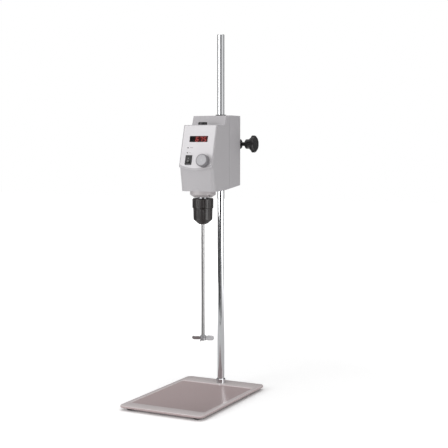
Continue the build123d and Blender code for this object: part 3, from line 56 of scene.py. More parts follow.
rod_low, rod_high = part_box("stand_rod")
rod_x = (rod_low.x + rod_high.x) / 2
rod_y = (rod_low.y + rod_high.y) / 2
eye_right_of_rod = 1.026
eye_before_rod = 2.0126
eye_height = 0.5506
eye_turn = radians(26.83)
eye_pitch = radians(4.31)
photo_width = 448
focal_in_pixels = 985.6
sensor = 36.0

camera = bpy.data.objects.new("camera", bpy.data.cameras.new("camera"))
camera.location = (rod_x + eye_right_of_rod, rod_y - eye_before_rod, eye_height)
camera.rotation_euler = (pi / 2 - eye_pitch, 0, eye_turn)
camera.data.sensor_width = sensor
camera.data.lens = sensor * focal_in_pixels / photo_width
bpy.context.scene.collection.objects.link(camera)
bpy.context.scene.camera = camera
bpy.context.scene.view_settings.view_transform = "Standard"


class Signal:
    """The output of a shader node. Arithmetic on it adds Math nodes, node() adds any other."""

    def __init__(self, socket):
        self.socket = socket
        self.tree = socket.id_data

    def node(self, kind, settings=None, inputs=None, output=0):
        made = self.tree.nodes.new("ShaderNode" + kind)
        for name, value in (settings or {}).items():
            if name == "stops":
                ramp = made.color_ramp
                while len(ramp.elements) < len(value):
                    ramp.elements.new(0.5)
                for element, (place, colour) in zip(ramp.elements, value):
                    element.position = place
                    element.color = (*colour, 1)
            else:
                setattr(made, name, value)
        for name, value in (inputs or {}).items():
            feed(made.inputs[name], value)
        return Signal(made.outputs[output])

    def math(self, operation, *values):
        return self.node("Math", {"operation": operation}, dict(enumerate(values)))

    def __add__(self, other):
        return self.math("ADD", self, other)

    def __radd__(self, other):
        return self.math("ADD", other, self)

    def __sub__(self, other):
        return self.math("SUBTRACT", self, other)

    def __rsub__(self, other):
        return self.math("SUBTRACT", other, self)

    def __mul__(self, other):
        return self.math("MULTIPLY", self, other)

    def __rmul__(self, other):
        return self.math("MULTIPLY", other, self)

    def __gt__(self, other):
        return self.math("GREATER_THAN", self, other)

    def limited(self):
        return self.node("Clamp", {}, {"Value": self})


def feed(socket, value):
    """Links a Signal to a socket, or sets the socket's own value."""
    if isinstance(value, Signal):
        socket.id_data.links.new(value.socket, socket)
    elif isinstance(value, tuple) and len(socket.default_value) == 4:
        socket.default_value = (*value, 1)
    else:
        socket.default_value = value


world = bpy.data.worlds.new("studio")
world.use_nodes = True
bpy.context.scene.world = world
sky = world.node_tree.nodes["Background"]
sky_light = 0.55
light_path = world.node_tree.nodes.new("ShaderNodeLightPath")
seen = (
    Signal(light_path.outputs["Is Camera Ray"])
    + Signal(light_path.outputs["Is Glossy Ray"])
    + Signal(light_path.outputs["Is Transmission Ray"])
).limited()
feed(sky.inputs["Color"], (1.0, 1.0, 1.0))
feed(sky.inputs["Strength"], seen + (1 - seen) * sky_light)


def card(name, size, place, aim, tone):
    """A flat matt card of the studio that faces a point."""
    mesh = bpy.data.meshes.new(name)
    half_width, half_height = size[0] / 2, size[1] / 2
    corners = [(-half_width, -half_height, 0), (half_width, -half_height, 0),
               (half_width, half_height, 0), (-half_width, half_height, 0)]
    mesh.from_pydata(corners, [], [(0, 1, 2, 3)])
    material = bpy.data.materials.new(name)
    material.use_nodes = True
    shader = material.node_tree.nodes["Principled BSDF"]
    feed(shader.inputs["Base Color"], (tone, tone, tone))
    shader.inputs["Roughness"].default_value = 1.0
    shader.inputs["Specular IOR Level"].default_value = 0.0
    mesh.materials.append(material)
    piece = bpy.data.objects.new(name, mesh)
    bpy.context.scene.collection.objects.link(piece)
    piece.location = place
    piece.rotation_mode = "QUATERNION"
    piece.rotation_quaternion = (Vector(aim) - Vector(place)).to_track_quat("Z", "Y")
    return piece


floor_size = 16.0
floor_tone = 0.8
floor_tone_seen = 1.25
sweep_start = 0.45
sweep_end = 1.5
floor = card("floor", (floor_size, floor_size), (0, 0, 0), (0, 0, 1), floor_tone)
floor_tree = floor.data.materials[0].node_tree
floor_path = floor_tree.nodes.new("ShaderNodeLightPath")
floor_camera = Signal(floor_path.outputs["Is Camera Ray"])
floor_seen = (floor_camera + Signal(floor_path.outputs["Is Glossy Ray"])).limited()
floor_place = Signal(floor_tree.nodes.new("ShaderNodeTexCoord").outputs["Object"])
floor_reach = floor_place.node("VectorMath", {"operation": "LENGTH"}, {0: floor_place}, "Value")
far = floor_reach.node(
    "MapRange", {"interpolation_type": "SMOOTHSTEP"},
    {"Value": floor_reach, "From Min": sweep_start, "From Max": sweep_end},
)
paper = floor_tree.nodes["Principled BSDF"]
paper_tone = floor_tone + floor_camera * (floor_tone_seen - floor_tone)
feed(paper.inputs["Base Color"], paper_tone)
white_share = floor_seen * far
feed(
    paper.inputs["Emission Color"],
    white_share.node("Mix", {"data_type": "RGBA"}, {0: white_share, 6: (0, 0, 0), 7: (1, 1, 1)}, 2),
)
paper.inputs["Emission Strength"].default_value = 1.0

# Dark screens stand where only polished surfaces show them, as grey lines along the rod and
# as the calm tone of the base.
eye_direction = Vector((eye_right_of_rod, -eye_before_rod, 0)).normalized()


def dark_screen(name, turn, distance, width, top, tone):
    """A dark card, turned from the camera's direction by an angle about the rod."""
    direction = Matrix.Rotation(radians(turn), 3, "Z") @ eye_direction
    middle = Vector((rod_x, rod_y, top / 2))
    piece = card(name, (width, top), middle + direction * distance, middle, tone)
    piece.visible_camera = False
    piece.visible_diffuse = False
    piece.visible_shadow = False
    piece.visible_transmission = False


screens = {
    "screen_by_camera": {"turn": 4, "distance": 0.6, "width": 0.36, "top": 1.8, "tone": 0.02},
    "screen_left": {"turn": -108, "distance": 1.3, "width": 1.5, "top": 2.2, "tone": 0.22},
    "screen_right": {"turn": 124, "distance": 1.3, "width": 1.4, "top": 2.2, "tone": 0.22},
    "screen_behind": {"turn": 180, "distance": 2.6, "width": 3.4, "top": 1.5, "tone": 0.16},
    "screen_low_left": {"turn": -52, "distance": 0.7, "width": 1.0, "top": 0.34, "tone": 0.08},
}
for name, screen in screens.items():
    dark_screen(name, **screen)


def area_lamp(name, from_rod, aim_height, size, watts):
    """A soft rectangular lamp, placed from the rod's foot, that faces a height on the rod."""
    place = Vector((rod_x, rod_y, 0)) + Vector(from_rod)
    aim = Vector((rod_x, rod_y, aim_height))
    lamp = bpy.data.objects.new(name, bpy.data.lights.new(name, "AREA"))
    lamp.data.shape = "RECTANGLE"
    lamp.data.size, lamp.data.size_y = size
    lamp.data.energy = watts
    lamp.location = place
    lamp.rotation_mode = "QUATERNION"
    lamp.rotation_quaternion = (aim - place).to_track_quat("-Z", "Y")
    bpy.context.scene.collection.objects.link(lamp)


lamps = {
    "key_lamp": {"from_rod": (-1.2, -2.2, 0.8), "aim_height": 0.5, "size": (1.3, 1.3), "watts": 24},
    "top_lamp": {"from_rod": (-0.2, -0.2, 2.4), "aim_height": 0.5, "size": (1.6, 1.6), "watts": 12},
    "low_lamp": {"from_rod": (1.9, -0.5, 0.2), "aim_height": 0.36, "size": (0.9, 0.5), "watts": 9},
}
for name, lamp in lamps.items():
    area_lamp(name, **lamp)


# Base plate
# A steel plate whose middle is pressed a little lower than its rim, so that a spill stays on
# it. It is coated all over in glossy mauve-grey lacquer; a painted highlight makes the rim paler where
# it catches light.

plate_low, plate_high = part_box("base_plate")
plate_corner = 12 * mm
plate_edge = 1.2 * mm
field_recess = 1.4 * mm
field_slope = 2.4 * mm
field_corner = 3 * mm
border_side = 10 * mm
border_front = 32 * mm
border_back = 46 * mm
corner_steps = 10
round_steps = 5


def srgb(red, green, blue):
    """A colour as a screen shows it, 0 to 255, as the light that a shader works with."""
    parts = [value / 255 for value in (red, green, blue)]
    return tuple(p / 12.92 if p <= 0.04045 else ((p + 0.055) / 1.055) ** 2.4 for p in parts)


def finish(name, roughness, metallic=0.0):
    """A new material: the material, its shader, and the place on the piece in metres."""
    material = bpy.data.materials.new(name)
    material.use_nodes = True
    tree = material.node_tree
    shader = tree.nodes["Principled BSDF"].inputs
    shader["Roughness"].default_value = roughness
    shader["Metallic"].default_value = metallic
    return material, shader, Signal(tree.nodes.new("ShaderNodeTexCoord").outputs["Object"])


def noise(place, scale, detail=2.0, roughness=0.5):
    """A cloudy pattern from 0 to 1, with about that many patches to a metre."""
    settings = {"Vector": place, "Scale": scale, "Detail": detail, "Roughness": roughness}
    return place.node("TexNoise", {}, settings)


def stretched(place, x, y, z):
    """The place, with each axis scaled."""
    return place.node("VectorMath", {"operation": "MULTIPLY"}, {0: place, 1: (x, y, z)})


def blend(share, first, second):
    """The colour that lies between two, by a share from 0 to 1."""
    return share.node("Mix", {"data_type": "RGBA"}, {0: share, 6: first, 7: second}, 2)


def relief(height, depth):
    """A normal that follows a height from 0 to 1, which stands for a depth in metres."""
    return height.node("Bump", {}, {"Strength": 1.0, "Distance": depth, "Height": height})


def level(place, axis):
    """How far along X, Y or Z the place is, in metres."""
    return place.node("SeparateXYZ", {}, {"Vector": place}, axis)


def skin(rings):
    """Points and faces of a closed surface through rings that have equally many points."""
    count = len(rings[0])
    points = [point for ring in rings for point in ring]
    faces = [tuple(reversed(range(count))), tuple(range(len(points) - count, len(points)))]
    for row in range(len(rings) - 1):
        for i in range(count):
            j = (i + 1) % count
            low, high = row * count, (row + 1) * count
            faces.append((low + i, low + j, high + j, high + i))
    return points, faces


sharp_edge = radians(38)
weld_distance = 1e-7


def made_piece(name, points, faces, material):
    """A new piece from points and faces, smooth apart from its sharp edges."""
    mesh = bpy.data.meshes.new(name)
    mesh.from_pydata([tuple(point) for point in points], [], faces)
    build = bmesh.new()
    build.from_mesh(mesh)
    bmesh.ops.remove_doubles(build, verts=build.verts, dist=weld_distance)
    bmesh.ops.recalc_face_normals(build, faces=build.faces)
    build.to_mesh(mesh)
    build.free()
    mesh.shade_smooth()
    mesh.set_sharp_from_angle(angle=sharp_edge)
    mesh.materials.append(material)
    piece = bpy.data.objects.new(name, mesh)
    bpy.context.scene.collection.objects.link(piece)
    return piece


def rounded_ring(low, high, corner, z):
    """A ring round a rectangle with round corners, at one height."""
    centres = [(high.x - corner, high.y - corner), (low.x + corner, high.y - corner),
               (low.x + corner, low.y + corner), (high.x - corner, low.y + corner)]
    turns = [i / corner_steps for i in range(corner_steps + 1)]
    return [
        Vector((x + corner * cos(pi / 2 * (quarter + t)), y + corner * sin(pi / 2 * (quarter + t)), z))
        for quarter, (x, y) in enumerate(centres) for t in turns
    ]


def plate_ring(inset, z):
    """A ring of the plate's outline, drawn in by a distance."""
    edge = Vector((inset, inset, 0))
    return rounded_ring(plate_low + edge, plate_high - edge, plate_corner - inset, z)


field_low = plate_low + Vector((border_side, border_front, 0))
field_high = plate_high - Vector((border_side, border_back, 0))
quarter = [i / round_steps * pi / 2 for i in range(round_steps + 1)]
plate_rings = []
for a in quarter:
    plate_rings.append(plate_ring(plate_edge * (1 - sin(a)), plate_low.z + plate_edge * (1 - cos(a))))
for a in quarter:
    plate_rings.append(plate_ring(plate_edge * (1 - cos(a)), plate_high.z - plate_edge * (1 - sin(a))))
slope_steps = 8
for i in range(slope_steps + 1):
    share = i / slope_steps
    fall = share * share * (3 - 2 * share)
    inset = Vector((share * field_slope, share * field_slope, 0))
    corner = field_corner + field_slope * (1 - share)
    plate_rings.append(
        rounded_ring(field_low + inset, field_high - inset, corner, plate_high.z - fall * field_recess)
    )

lacquer, shader, place = finish("plate_lacquer", 0.24)
# Field and rim are one lacquer: the rim's paler tone is a painted highlight, a lit copy of the field's
# tone.
field_tone = srgb(178, 160, 160)
painted_rim_highlight_tone = srgb(212, 203, 203)
cloud = noise(place, 7, 2)
orange_peel = noise(place, 420, 1)
rim_starts = 0.6
painted_rim_highlight_mask = level(place, "Z") > plate_high.z - rim_starts * field_recess
tone = blend(painted_rim_highlight_mask, field_tone, painted_rim_highlight_tone)
feed(shader["Base Color"], blend(cloud * 0.1, tone, srgb(196, 186, 186)))
feed(shader["Roughness"], 0.26 + orange_peel * 0.05)
feed(shader["Normal"], relief(orange_peel, 5e-6))
shader["Coat Weight"].default_value = 0.2
shader["Coat Roughness"].default_value = 0.16

pressed_base = made_piece("pressed_base", *skin(plate_rings), lacquer)
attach(pressed_base, "stand")
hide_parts("base_plate")


# Feet and the screws under the base
# Four rubber feet, each held by a zinc-plated screw in its recess. The rod's own screw and
# washer are zinc-plated too.


def dress(material, *names):
    """Gives CAD nodes their finish."""
    for name in names:
        for slot in nodes[name].material_slots:
            slot.material = material


rubber, shader, place = finish("foot_rubber", 0.8)
feed(shader["Base Color"], blend(noise(place, 160, 4), srgb(30, 30, 31), srgb(52, 52, 54)))
feed(shader["Roughness"], 0.68 + noise(place, 900, 3) * 0.2)
feed(shader["Normal"], relief(noise(place, 2400, 2), 25e-6))
dress(rubber, "base_feet")

zinc, shader, place = finish("zinc_steel", 0.3, 1.0)
bloom = noise(place, 300, 4)
feed(shader["Base Color"], blend(bloom, srgb(176, 178, 182), srgb(200, 201, 205)))
feed(shader["Roughness"], 0.22 + bloom * 0.2)
feed(shader["Normal"], relief(noise(place, 3000, 2), 6e-6))
dress(zinc, "foot_screws", "rod_washer", "rod_screw")


# Rod and its foot collar
# A straight steel rod, centreless-ground and chromed, with a chamfered top. A collar of the
# same finish sits round its foot, where the rod stands on the base.

rod_radius = (rod_high.x - rod_low.x) / 2
rod_chamfer = 1 * mm
rod_easing = 0.35 * mm
easing_steps = 4
easing_limit = 0.45
turned_sides = 96


def eased(rows, reach):
    """A profile whose inner corners are rounded, each along its sides by at most a reach."""
    corners = [Vector(row) for row in rows]
    smooth = [corners[0]]
    for before, corner, after in zip(corners, corners[1:], corners[2:]):
        start = corner.lerp(before, min(easing_limit, reach / (before - corner).length))
        end = corner.lerp(after, min(easing_limit, reach / (after - corner).length))
        for i in range(easing_steps + 1):
            t = i / easing_steps
            smooth.append(start.lerp(corner, t).lerp(corner.lerp(end, t), t))
    return smooth + [corners[-1]]


def turned(rows, place):
    """Points and faces turned about an axis from rows of radius and height."""
    angles = [2 * pi * i / turned_sides for i in range(turned_sides)]
    return skin([
        [place @ Vector((radius * cos(angle), radius * sin(angle), height)) for angle in angles]
        for radius, height in rows
    ])


def upright(node):
    """The vertical axis through the middle of a CAD node."""
    low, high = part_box(node)
    return Matrix.Translation(((low.x + high.x) / 2, (low.y + high.y) / 2, 0))


chrome, shader, place = finish("chromed_steel", 0.1, 1.0)
draw_marks = noise(stretched(place, 60, 60, 2.2), 1, 3)
ring_marks = noise(stretched(place, 15, 15, 5200), 1, 2)
feed(shader["Base Color"], blend(draw_marks, srgb(196, 197, 199), srgb(222, 223, 225)))
feed(shader["Roughness"], 0.07 + ring_marks * 0.05 + draw_marks * 0.04)
feed(shader["Normal"], relief(ring_marks, 0.6e-6))

rod_rows = eased([
    (0, rod_low.z), (rod_radius, rod_low.z), (rod_radius, rod_high.z - rod_chamfer),
    (rod_radius - rod_chamfer, rod_high.z), (0, rod_high.z),
], rod_easing)
polished_rod = made_piece("polished_rod", *turned(rod_rows, upright("stand_rod")), chrome)
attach(polished_rod, "stand")
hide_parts("stand_rod")
dress(chrome, "rod_foot_collar")


# Clamp that holds the head on the rod
# A split aluminium casting on the motor deck, with two ears that stand out of the back. A
# slit nylon sleeve lies between it and the rod, and a nut sits in the far ear.

cast, shader, place = finish("clamp_casting", 0.5, 0.9)
skin_marks = noise(place, 700, 5, 0.6)
feed(shader["Base Color"], blend(skin_marks, srgb(150, 152, 155), srgb(186, 188, 190)))
feed(shader["Roughness"], 0.42 + skin_marks * 0.2)
feed(shader["Normal"], relief(skin_marks, 60e-6))
dress(cast, "clamp_block")

nylon, shader, place = finish("natural_nylon", 0.45)
feed(shader["Base Color"], blend(noise(place, 120, 3), srgb(222, 218, 206), srgb(234, 231, 222)))
feed(shader["Normal"], relief(noise(stretched(place, 900, 900, 120), 1, 2), 8e-6))
dress(nylon, "clamp_liner")
dress(zinc, "clamp_block_screws", "clamp_nut")


# Motor and its deck
# An aluminium deck carries a direct-current motor: a black-enamelled steel can with ferrite
# magnets, a wound rotor and a plastic end cap, held by two screws from below.

deck, shader, place = finish("deck_plate", 0.35, 1.0)
rolled = noise(stretched(place, 30, 1400, 1400), 1, 3)
feed(shader["Base Color"], blend(rolled, srgb(176, 178, 181), srgb(200, 202, 204)))
feed(shader["Roughness"], 0.28 + rolled * 0.16)
feed(shader["Normal"], relief(rolled, 4e-6))
dress(deck, "motor_deck")

enamel, shader, place = finish("motor_enamel", 0.32)
feed(shader["Base Color"], blend(noise(place, 80, 3), srgb(70, 72, 76), srgb(92, 94, 98)))
feed(shader["Roughness"], 0.26 + noise(place, 500, 3) * 0.16)
feed(shader["Normal"], relief(noise(place, 900, 2), 10e-6))
dress(enamel, "motor_case")

ferrite, shader, place = finish("ferrite", 0.62)
feed(shader["Base Color"], blend(noise(place, 900, 5), srgb(56, 54, 54), srgb(78, 76, 75)))
feed(shader["Normal"], relief(noise(place, 2200, 4), 20e-6))
dress(ferrite, "motor_magnets")

iron, shader, place = finish("rotor_laminations", 0.45, 0.8)
sheets = noise(stretched(place, 20, 20, 2000), 1, 1)
feed(shader["Base Color"], blend(sheets, srgb(112, 96, 84), srgb(138, 124, 112)))
feed(shader["Normal"], relief(sheets, 30e-6))
dress(iron, "motor_rotor")
dress(zinc, "motor_screws")


# Belt drive and spindle
# A toothed belt runs from the motor's small pulley to the spindle's large one. The spindle is
# a steel tube in two shielded ball bearings, sealed below by a felt ring.

pulley, shader, place = finish("pulley_metal", 0.38, 1.0)
lathe_marks = noise(stretched(place, 40, 40, 3800), 1, 2)
feed(shader["Base Color"], blend(lathe_marks, srgb(182, 184, 188), srgb(204, 206, 209)))
feed(shader["Roughness"], 0.3 + lathe_marks * 0.15)
feed(shader["Normal"], relief(lathe_marks, 4e-6))
dress(pulley, "driven_pulley", "driver_pulley")

belt, shader, place = finish("belt_rubber", 0.7)
feed(shader["Base Color"], blend(noise(place, 400, 3), srgb(24, 24, 25), srgb(40, 40, 42)))
feed(shader["Normal"], relief(noise(stretched(place, 300, 300, 4200), 1, 2), 30e-6))
dress(belt, "timing_belt")

steel, shader, place = finish("turned_steel", 0.26, 1.0)
lathe_marks = noise(stretched(place, 30, 30, 4600), 1, 2)
stain = noise(place, 45, 4)
feed(shader["Base Color"], blend(stain, srgb(172, 174, 177), srgb(202, 203, 205)))
feed(shader["Roughness"], 0.16 + lathe_marks * 0.1 + stain * 0.06)
feed(shader["Normal"], relief(lathe_marks, 1.5e-6))
dress(steel, "deck_spacers", "hollow_spindle", "bearing_outer_rings", "bearing_inner_rings")
dress(zinc, "housing_mount_screws", "retaining_ring")

felt, shader, place = finish("seal_felt", 0.95)
feed(shader["Base Color"], blend(noise(place, 1500, 5), srgb(56, 54, 52), srgb(92, 90, 86)))
feed(shader["Normal"], relief(noise(place, 3200, 3), 90e-6))
dress(felt, "spindle_seal")


# Bearing housing under the head
# A turned aluminium flange with a cone below it, painted in the head's pale silver grey and
# bolted up through the bottom of the housing.

bearing_paint, shader, place = finish("bearing_paint", 0.5, 0.15)
mist = noise(place, 1800, 3)
feed(shader["Base Color"], blend(mist, srgb(172, 167, 168), srgb(186, 181, 182)))
feed(shader["Roughness"], 0.46 + mist * 0.12)
feed(shader["Normal"], relief(mist, 6e-6))
dress(bearing_paint, "bearing_housing")


# Supply at the back
# A glass-fibre board with its transformer and capacitor, and an appliance inlet of black
# nylon that snaps into the back of the housing.

board, shader, place = finish("circuit_board", 0.4)
tracks = noise(stretched(place, 260, 260, 260), 1, 0) > 0.56
weave = noise(place, 2600, 2)
feed(shader["Base Color"], blend(tracks * 0.7, srgb(30, 92, 58), srgb(52, 128, 84)))
feed(shader["Roughness"], 0.34 + weave * 0.12)
feed(shader["Normal"], relief(weave, 12e-6))
dress(board, "power_board", "control_board")

black, shader, place = finish("black_plastic", 0.42)
grain = noise(place, 2200, 2)
feed(shader["Base Color"], blend(noise(place, 60, 3), srgb(22, 21, 22), srgb(32, 31, 32)))
feed(shader["Roughness"], 0.36 + grain * 0.14)
feed(shader["Normal"], relief(grain, 14e-6))
dress(black, "mains_inlet", "motor_end_cap", "rod_bushes", "display_module", "power_switch")


# Housing shells
# Two shells moulded in light grey plastic with a fine spark-eroded grain. They meet at a thin
# seam on the sides, and four screws from the back pull them together.

moulding, shader, place = finish("housing_plastic", 0.5)
shell_grain = noise(place, 1700, 3, 0.6)
flow = noise(stretched(place, 5, 5, 2.5), 1, 3)
feed(shader["Base Color"], blend(flow, srgb(176, 173, 176), srgb(186, 184, 186)))
feed(shader["Roughness"], 0.44 + shell_grain * 0.14)
feed(shader["Normal"], relief(shell_grain, 16e-6))
dress(moulding, "front_housing", "rear_housing")
dress(zinc, "case_screws", "board_screws")


# Panel overlay
# A printed polyester film on the sloping face. Its matt pale coat carries plain grey bars
# beside the lamps and tick marks round the speed knob.

panel_joint = next(joint for joint in frame["joints"] if joint["name"] == "speed_knob_turn")
across = Vector((1, 0, 0))
panel_out = Vector(panel_joint["axis"]).normalized()
panel_up = panel_out.cross(across)
knob_centre = Vector(panel_joint["pos_m"])
lens_low, lens_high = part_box("display_lens")
window_centre = (lens_low + lens_high) / 2

film, shader, place = finish("overlay_film", 0.42)
film_grain = noise(place, 3000, 2)
feed(shader["Base Color"], blend(noise(place, 14, 3), srgb(212, 209, 212), srgb(219, 217, 219)))
feed(shader["Roughness"], 0.36 + film_grain * 0.12)
feed(shader["Normal"], relief(film_grain, 5e-6))
dress(film, "panel_overlay")

ink, shader, place = finish("grey_ink", 0.5)
feed(shader["Base Color"], blend(noise(place, 1800, 2), srgb(150, 138, 142), srgb(168, 158, 162)))
feed(shader["Normal"], relief(noise(place, 2600, 2), 3e-6))
ink_height = 0.04 * mm
drop_from = 20 * mm


def surface_of(node):
    """The surface of a CAD node, for laying marks on it."""
    mesh = nodes[node].data
    points = [vertex.co for vertex in mesh.vertices]
    return BVHTree.FromPolygons(points, [tuple(face.vertices) for face in mesh.polygons])


def laid(surface, middle, outline, lift):
    """A flat outline about a middle, dropped square to the panel on a surface, and its upper face."""
    low = []
    for x, y in outline:
        start = middle + across * x + panel_up * y + panel_out * drop_from
        low.append(surface.ray_cast(start, -panel_out)[0])
    return [low, [point + panel_out * lift for point in low]]


def bar(x, y, width, height, turn=0.0):
    """The outline of a flat bar about a point, turned by an angle."""
    corners = [(-width / 2, -height / 2), (width / 2, -height / 2), (width / 2, height / 2),
               (-width / 2, height / 2)]
    return [(x + a * cos(turn) - b * sin(turn), y + a * sin(turn) + b * cos(turn)) for a, b in corners]


def slab(surface, middle, outline, lift):
    """Points and faces of one thin flat mark."""
    return skin(laid(surface, middle, outline, lift))


def gathered(parts):
    """Points and faces of several closed skins as one."""
    points, faces = [], []
    for some_points, some_faces in parts:
        faces += [tuple(i + len(points) for i in face) for face in some_faces]
        points += some_points
    return points, faces


overlay_surface = surface_of("panel_overlay")
led_low, led_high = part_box("indicator_lamps")
led_x = (led_low.x + led_high.x) / 2
legend_start = 4.6 * mm
legend_bar = (7.6 * mm, 1.0 * mm)
below_and_length = ((19.7 * mm, 1.0), (31.1 * mm, 0.45))
marks = []
for below_window, share in below_and_length:
    legend_x = led_x - window_centre.x + legend_start + legend_bar[0] * share / 2
    outline = bar(legend_x, 0, legend_bar[0] * share, legend_bar[1])
    row_centre = window_centre - panel_up * below_window
    marks.append(slab(overlay_surface, row_centre, outline, ink_height))
tick_radius = 15.9 * mm
tick_size = (1.8 * mm, 0.3 * mm)
tick_count = 7
tick_swing = radians(90)
for i in range(tick_count):
    turn = pi / 2 + tick_swing * (1 - 2 * i / (tick_count - 1))
    outline = bar(tick_radius * cos(turn), tick_radius * sin(turn), *tick_size, turn)
    marks.append(slab(overlay_surface, knob_centre, outline, ink_height))
panel_marks = made_piece("panel_marks", *gathered(marks), ink)
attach(panel_marks, "drive_head")


# Display
# A dark red acrylic window, and behind it a four-digit module whose first place is blank.
# The digits are lit bars, each digit made of seven.

window, shader, place = finish("display_window", 0.2)
smoke = noise(place, 60, 2)
unlit_share = 0.3
# The window is one acrylic: the red over the lit places is painted glow of the digits behind it.
painted_glow_side = level(place, "X") > lens_low.x + unlit_share * (lens_high.x - lens_low.x)
red = blend(smoke, srgb(66, 8, 8), srgb(84, 14, 10))
feed(shader["Base Color"], blend(painted_glow_side, srgb(12, 7, 8), red))
feed(shader["Roughness"], 0.16 + smoke * 0.06)
shader["Specular IOR Level"].default_value = 0.15
shader["Alpha"].default_value = 0.55
dress(window, "display_lens")

lit, shader, place = finish("lit_bar", 0.4)
glow = noise(place, 900, 2)
feed(shader["Base Color"], blend(glow, srgb(190, 60, 60), srgb(220, 90, 88)))
feed(shader["Emission Color"], blend(glow, srgb(235, 96, 96), srgb(250, 128, 122)))
shader["Emission Strength"].default_value = 1.0

module_surface = surface_of("display_module")
digit_pitch = 9.6 * mm
digit_width = 5.6 * mm
digit_height = 9.6 * mm
bar_width = 1.15 * mm
bar_gap = 0.25 * mm
bar_height = 0.15 * mm
digit_lean = 0.14
lit_bars = {"6": "acdefg", "7": "abc", "5": "acdfg"}


def bar_outline(start, end):
    """A bar with pointed ends between two points of a digit, leaning like the digit."""
    start, end = Vector(start), Vector(end)
    along = (end - start).normalized()
    side = Vector((-along.y, along.x)) * bar_width / 2
    start, end = start + along * bar_gap, end - along * bar_gap
    tip = along * bar_width / 2
    corners = [start, start + tip - side, end - tip - side, end, end - tip + side, start + tip + side]
    return [(corner.x + digit_lean * corner.y, corner.y) for corner in corners]


digit_corner = {
    "top_left": (-digit_width / 2, digit_height / 2), "top_right": (digit_width / 2, digit_height / 2),
    "left": (-digit_width / 2, 0), "right": (digit_width / 2, 0),
    "low_left": (-digit_width / 2, -digit_height / 2), "low_right": (digit_width / 2, -digit_height / 2),
}
bar_ends = {
    "a": ("top_left", "top_right"), "b": ("top_right", "right"), "c": ("right", "low_right"),
    "d": ("low_left", "low_right"), "e": ("left", "low_left"), "f": ("top_left", "left"),
    "g": ("left", "right"),
}
bars = []
middle_place = 0.5
for place_number, digit in enumerate("675"):
    digit_centre = window_centre + across * (place_number - middle_place) * digit_pitch
    for name in lit_bars[digit]:
        start, end = bar_ends[name]
        outline = bar_outline(digit_corner[start], digit_corner[end])
        bars.append(slab(module_surface, digit_centre, outline, bar_height))
display_digits = made_piece("display_digits", *gathered(bars), lit)
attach(display_digits, "drive_head")


# Indicator lamps
# Two small round lamps in the panel, unlit: the upper lens is nearly black, the lower one
# smoke grey.

lamp_lens, shader, place = finish("lamp_lens", 0.12)
upper_lamp = level(place, "Z") > (led_low.z + led_high.z) / 2
unlit = blend(noise(place, 700, 2), srgb(92, 94, 90), srgb(112, 114, 108))
feed(shader["Base Color"], blend(upper_lamp, unlit, srgb(22, 22, 24)))
feed(shader["Roughness"], 0.1 + noise(place, 1500, 2) * 0.1)
shader["Coat Weight"].default_value = 0.15
dress(lamp_lens, "indicator_lamps")


# Power rocker
# A black nylon rocker in its bezel, printed with the plain line and ring of any such switch.

dress(black, "power_rocker")
white_ink, shader, place = finish("white_ink", 0.5)
feed(shader["Base Color"], blend(noise(place, 2200, 2), srgb(186, 186, 184), srgb(214, 214, 212)))
feed(shader["Normal"], relief(noise(place, 2600, 2), 3e-6))
rocker_surface = surface_of("power_rocker")
rocker_low, rocker_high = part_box("power_rocker")
rocker_centre = (rocker_low + rocker_high) / 2
rocker_half = (rocker_high.z - rocker_low.z) / 2
mark_radius = 1.5 * mm
mark_width = 0.45 * mm
mark_sides = 32
ring_y = -0.42 * rocker_half
line_y = 0.45 * rocker_half
inner, outer = mark_radius - mark_width / 2, mark_radius + mark_width / 2
rocker_parts = []
for i in range(mark_sides):
    first, second = 2 * pi * i / mark_sides, 2 * pi * (i + 1) / mark_sides
    outline = [(r * cos(a), r * sin(a) + ring_y)
               for r, a in ((inner, first), (outer, first), (outer, second), (inner, second))]
    rocker_parts.append(slab(rocker_surface, rocker_centre, outline, ink_height))
line = bar(0, line_y, mark_width, 2 * mark_radius)
rocker_parts.append(slab(rocker_surface, rocker_centre, line, ink_height))
rocker_marks = made_piece("rocker_marks", *gathered(rocker_parts), white_ink)
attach(rocker_marks, "rocker")


# Speed control
# A potentiometer behind the panel turns with a fluted knob of dark grey plastic. Its face is a
# spun aluminium disc with a short pointer line.

dress(zinc, "speed_potentiometer", "potentiometer_nut", "potentiometer_shaft")
grip, shader, place = finish("knob_plastic", 0.46)
grip_grain = noise(place, 2400, 2)
feed(shader["Base Color"], blend(noise(place, 90, 3), srgb(116, 114, 117), srgb(134, 132, 135)))
feed(shader["Roughness"], 0.4 + grip_grain * 0.14)
feed(shader["Normal"], relief(grip_grain, 10e-6))
dress(grip, "speed_knob")

knob_disc, shader, place = finish("spun_disc", 0.48, 0.35)
from_axis = place.node(
    "VectorMath", {"operation": "SUBTRACT"}, {0: place, 1: tuple(knob_centre)}
)
spin_radius = from_axis.node("VectorMath", {"operation": "LENGTH"}, {0: from_axis}, "Value")
ring_density = 9000
rings = spin_radius.math("SINE", spin_radius * ring_density) * 0.5 + 0.5
feed(shader["Base Color"], blend(rings, srgb(158, 157, 160), srgb(174, 173, 176)))
feed(shader["Roughness"], 0.44 + noise(place, 700, 3) * 0.1)
feed(shader["Normal"], relief(rings, 2e-6))
dress(knob_disc, "speed_knob_face")

face_surface = surface_of("speed_knob_face")
pointer_reach = 8.2 * mm
pointer_size = (0.9 * mm, 4.2 * mm)
pointer = bar(0, pointer_reach, *pointer_size)
knob_pointer = made_piece("knob_pointer", *slab(face_surface, knob_centre, pointer, ink_height), ink)
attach(knob_pointer, "speed_control")


# Cap over the spindle
# A black plug in the ledge above the panel. It pulls out to let a long shaft pass up through
# the hollow spindle.

dress(black, "through_hole_cap")


# Chuck
# A keyless chuck: two fluted sleeves of dark brown-black plastic round a steel body, a nut
# and three slanted jaws.

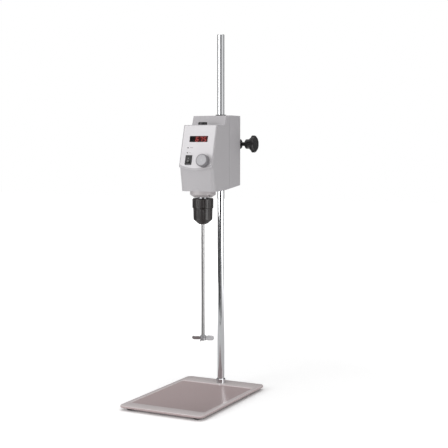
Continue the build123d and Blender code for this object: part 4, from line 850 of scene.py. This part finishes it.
chuck_shell, shader, place = finish("chuck_shell", 0.36)
shell_cloud = noise(place, 70, 3)
feed(shader["Base Color"], blend(shell_cloud, srgb(28, 23, 23), srgb(40, 34, 34)))
feed(shader["Roughness"], 0.3 + noise(place, 1800, 2) * 0.14)
feed(shader["Normal"], relief(noise(place, 2200, 2), 10e-6))
dress(chuck_shell, "chuck_rear_sleeve", "chuck_front_sleeve")

jaw_steel, shader, place = finish("chuck_steel", 0.32, 1.0)
ground = noise(stretched(place, 90, 90, 2600), 1, 2)
feed(shader["Base Color"], blend(ground, srgb(146, 146, 150), srgb(176, 176, 180)))
feed(shader["Roughness"], 0.26 + ground * 0.16)
feed(shader["Normal"], relief(ground, 3e-6))
dress(jaw_steel, "chuck_body", "chuck_nut", "chuck_jaw_1", "chuck_jaw_2", "chuck_jaw_3")


# Stirring shaft and propeller
# A ground stainless shaft in the jaws, and on its end a cast four-blade propeller held by a
# grub screw.

ground_shaft, shader, place = finish("ground_shaft", 0.36, 1.0)
grinding = noise(stretched(place, 30, 30, 5200), 1, 2)
feed(shader["Base Color"], blend(grinding, srgb(150, 149, 149), srgb(172, 171, 171)))
feed(shader["Roughness"], 0.32 + grinding * 0.1)
feed(shader["Normal"], relief(grinding, 1e-6))
dress(ground_shaft, "stirring_shaft")
blade_steel, shader, place = finish("blade_steel", 0.4, 0.9)
hammered = noise(place, 320, 3)
feed(shader["Base Color"], blend(hammered, srgb(150, 149, 151), srgb(176, 175, 177)))
feed(shader["Roughness"], 0.34 + hammered * 0.16)
feed(shader["Normal"], relief(hammered, 14e-6))
dress(blade_steel, "propeller")


# Clamp screw at the back
# A blackened steel stud with a collar, a loose washer, and a six-lobed star grip of black
# plastic that tightens the clamp on the rod.

dress(black, "clamp_star_knob")
blued, shader, place = finish("blackened_steel", 0.36, 0.6)
oxide = noise(place, 260, 4)
feed(shader["Base Color"], blend(oxide, srgb(34, 33, 35), srgb(54, 52, 54)))
feed(shader["Roughness"], 0.3 + oxide * 0.2)
feed(shader["Normal"], relief(oxide, 5e-6))
dress(blued, "clamp_washer", "clamp_stud")


# Last update
# The view layer is brought up to date.

bpy.context.view_layer.update()
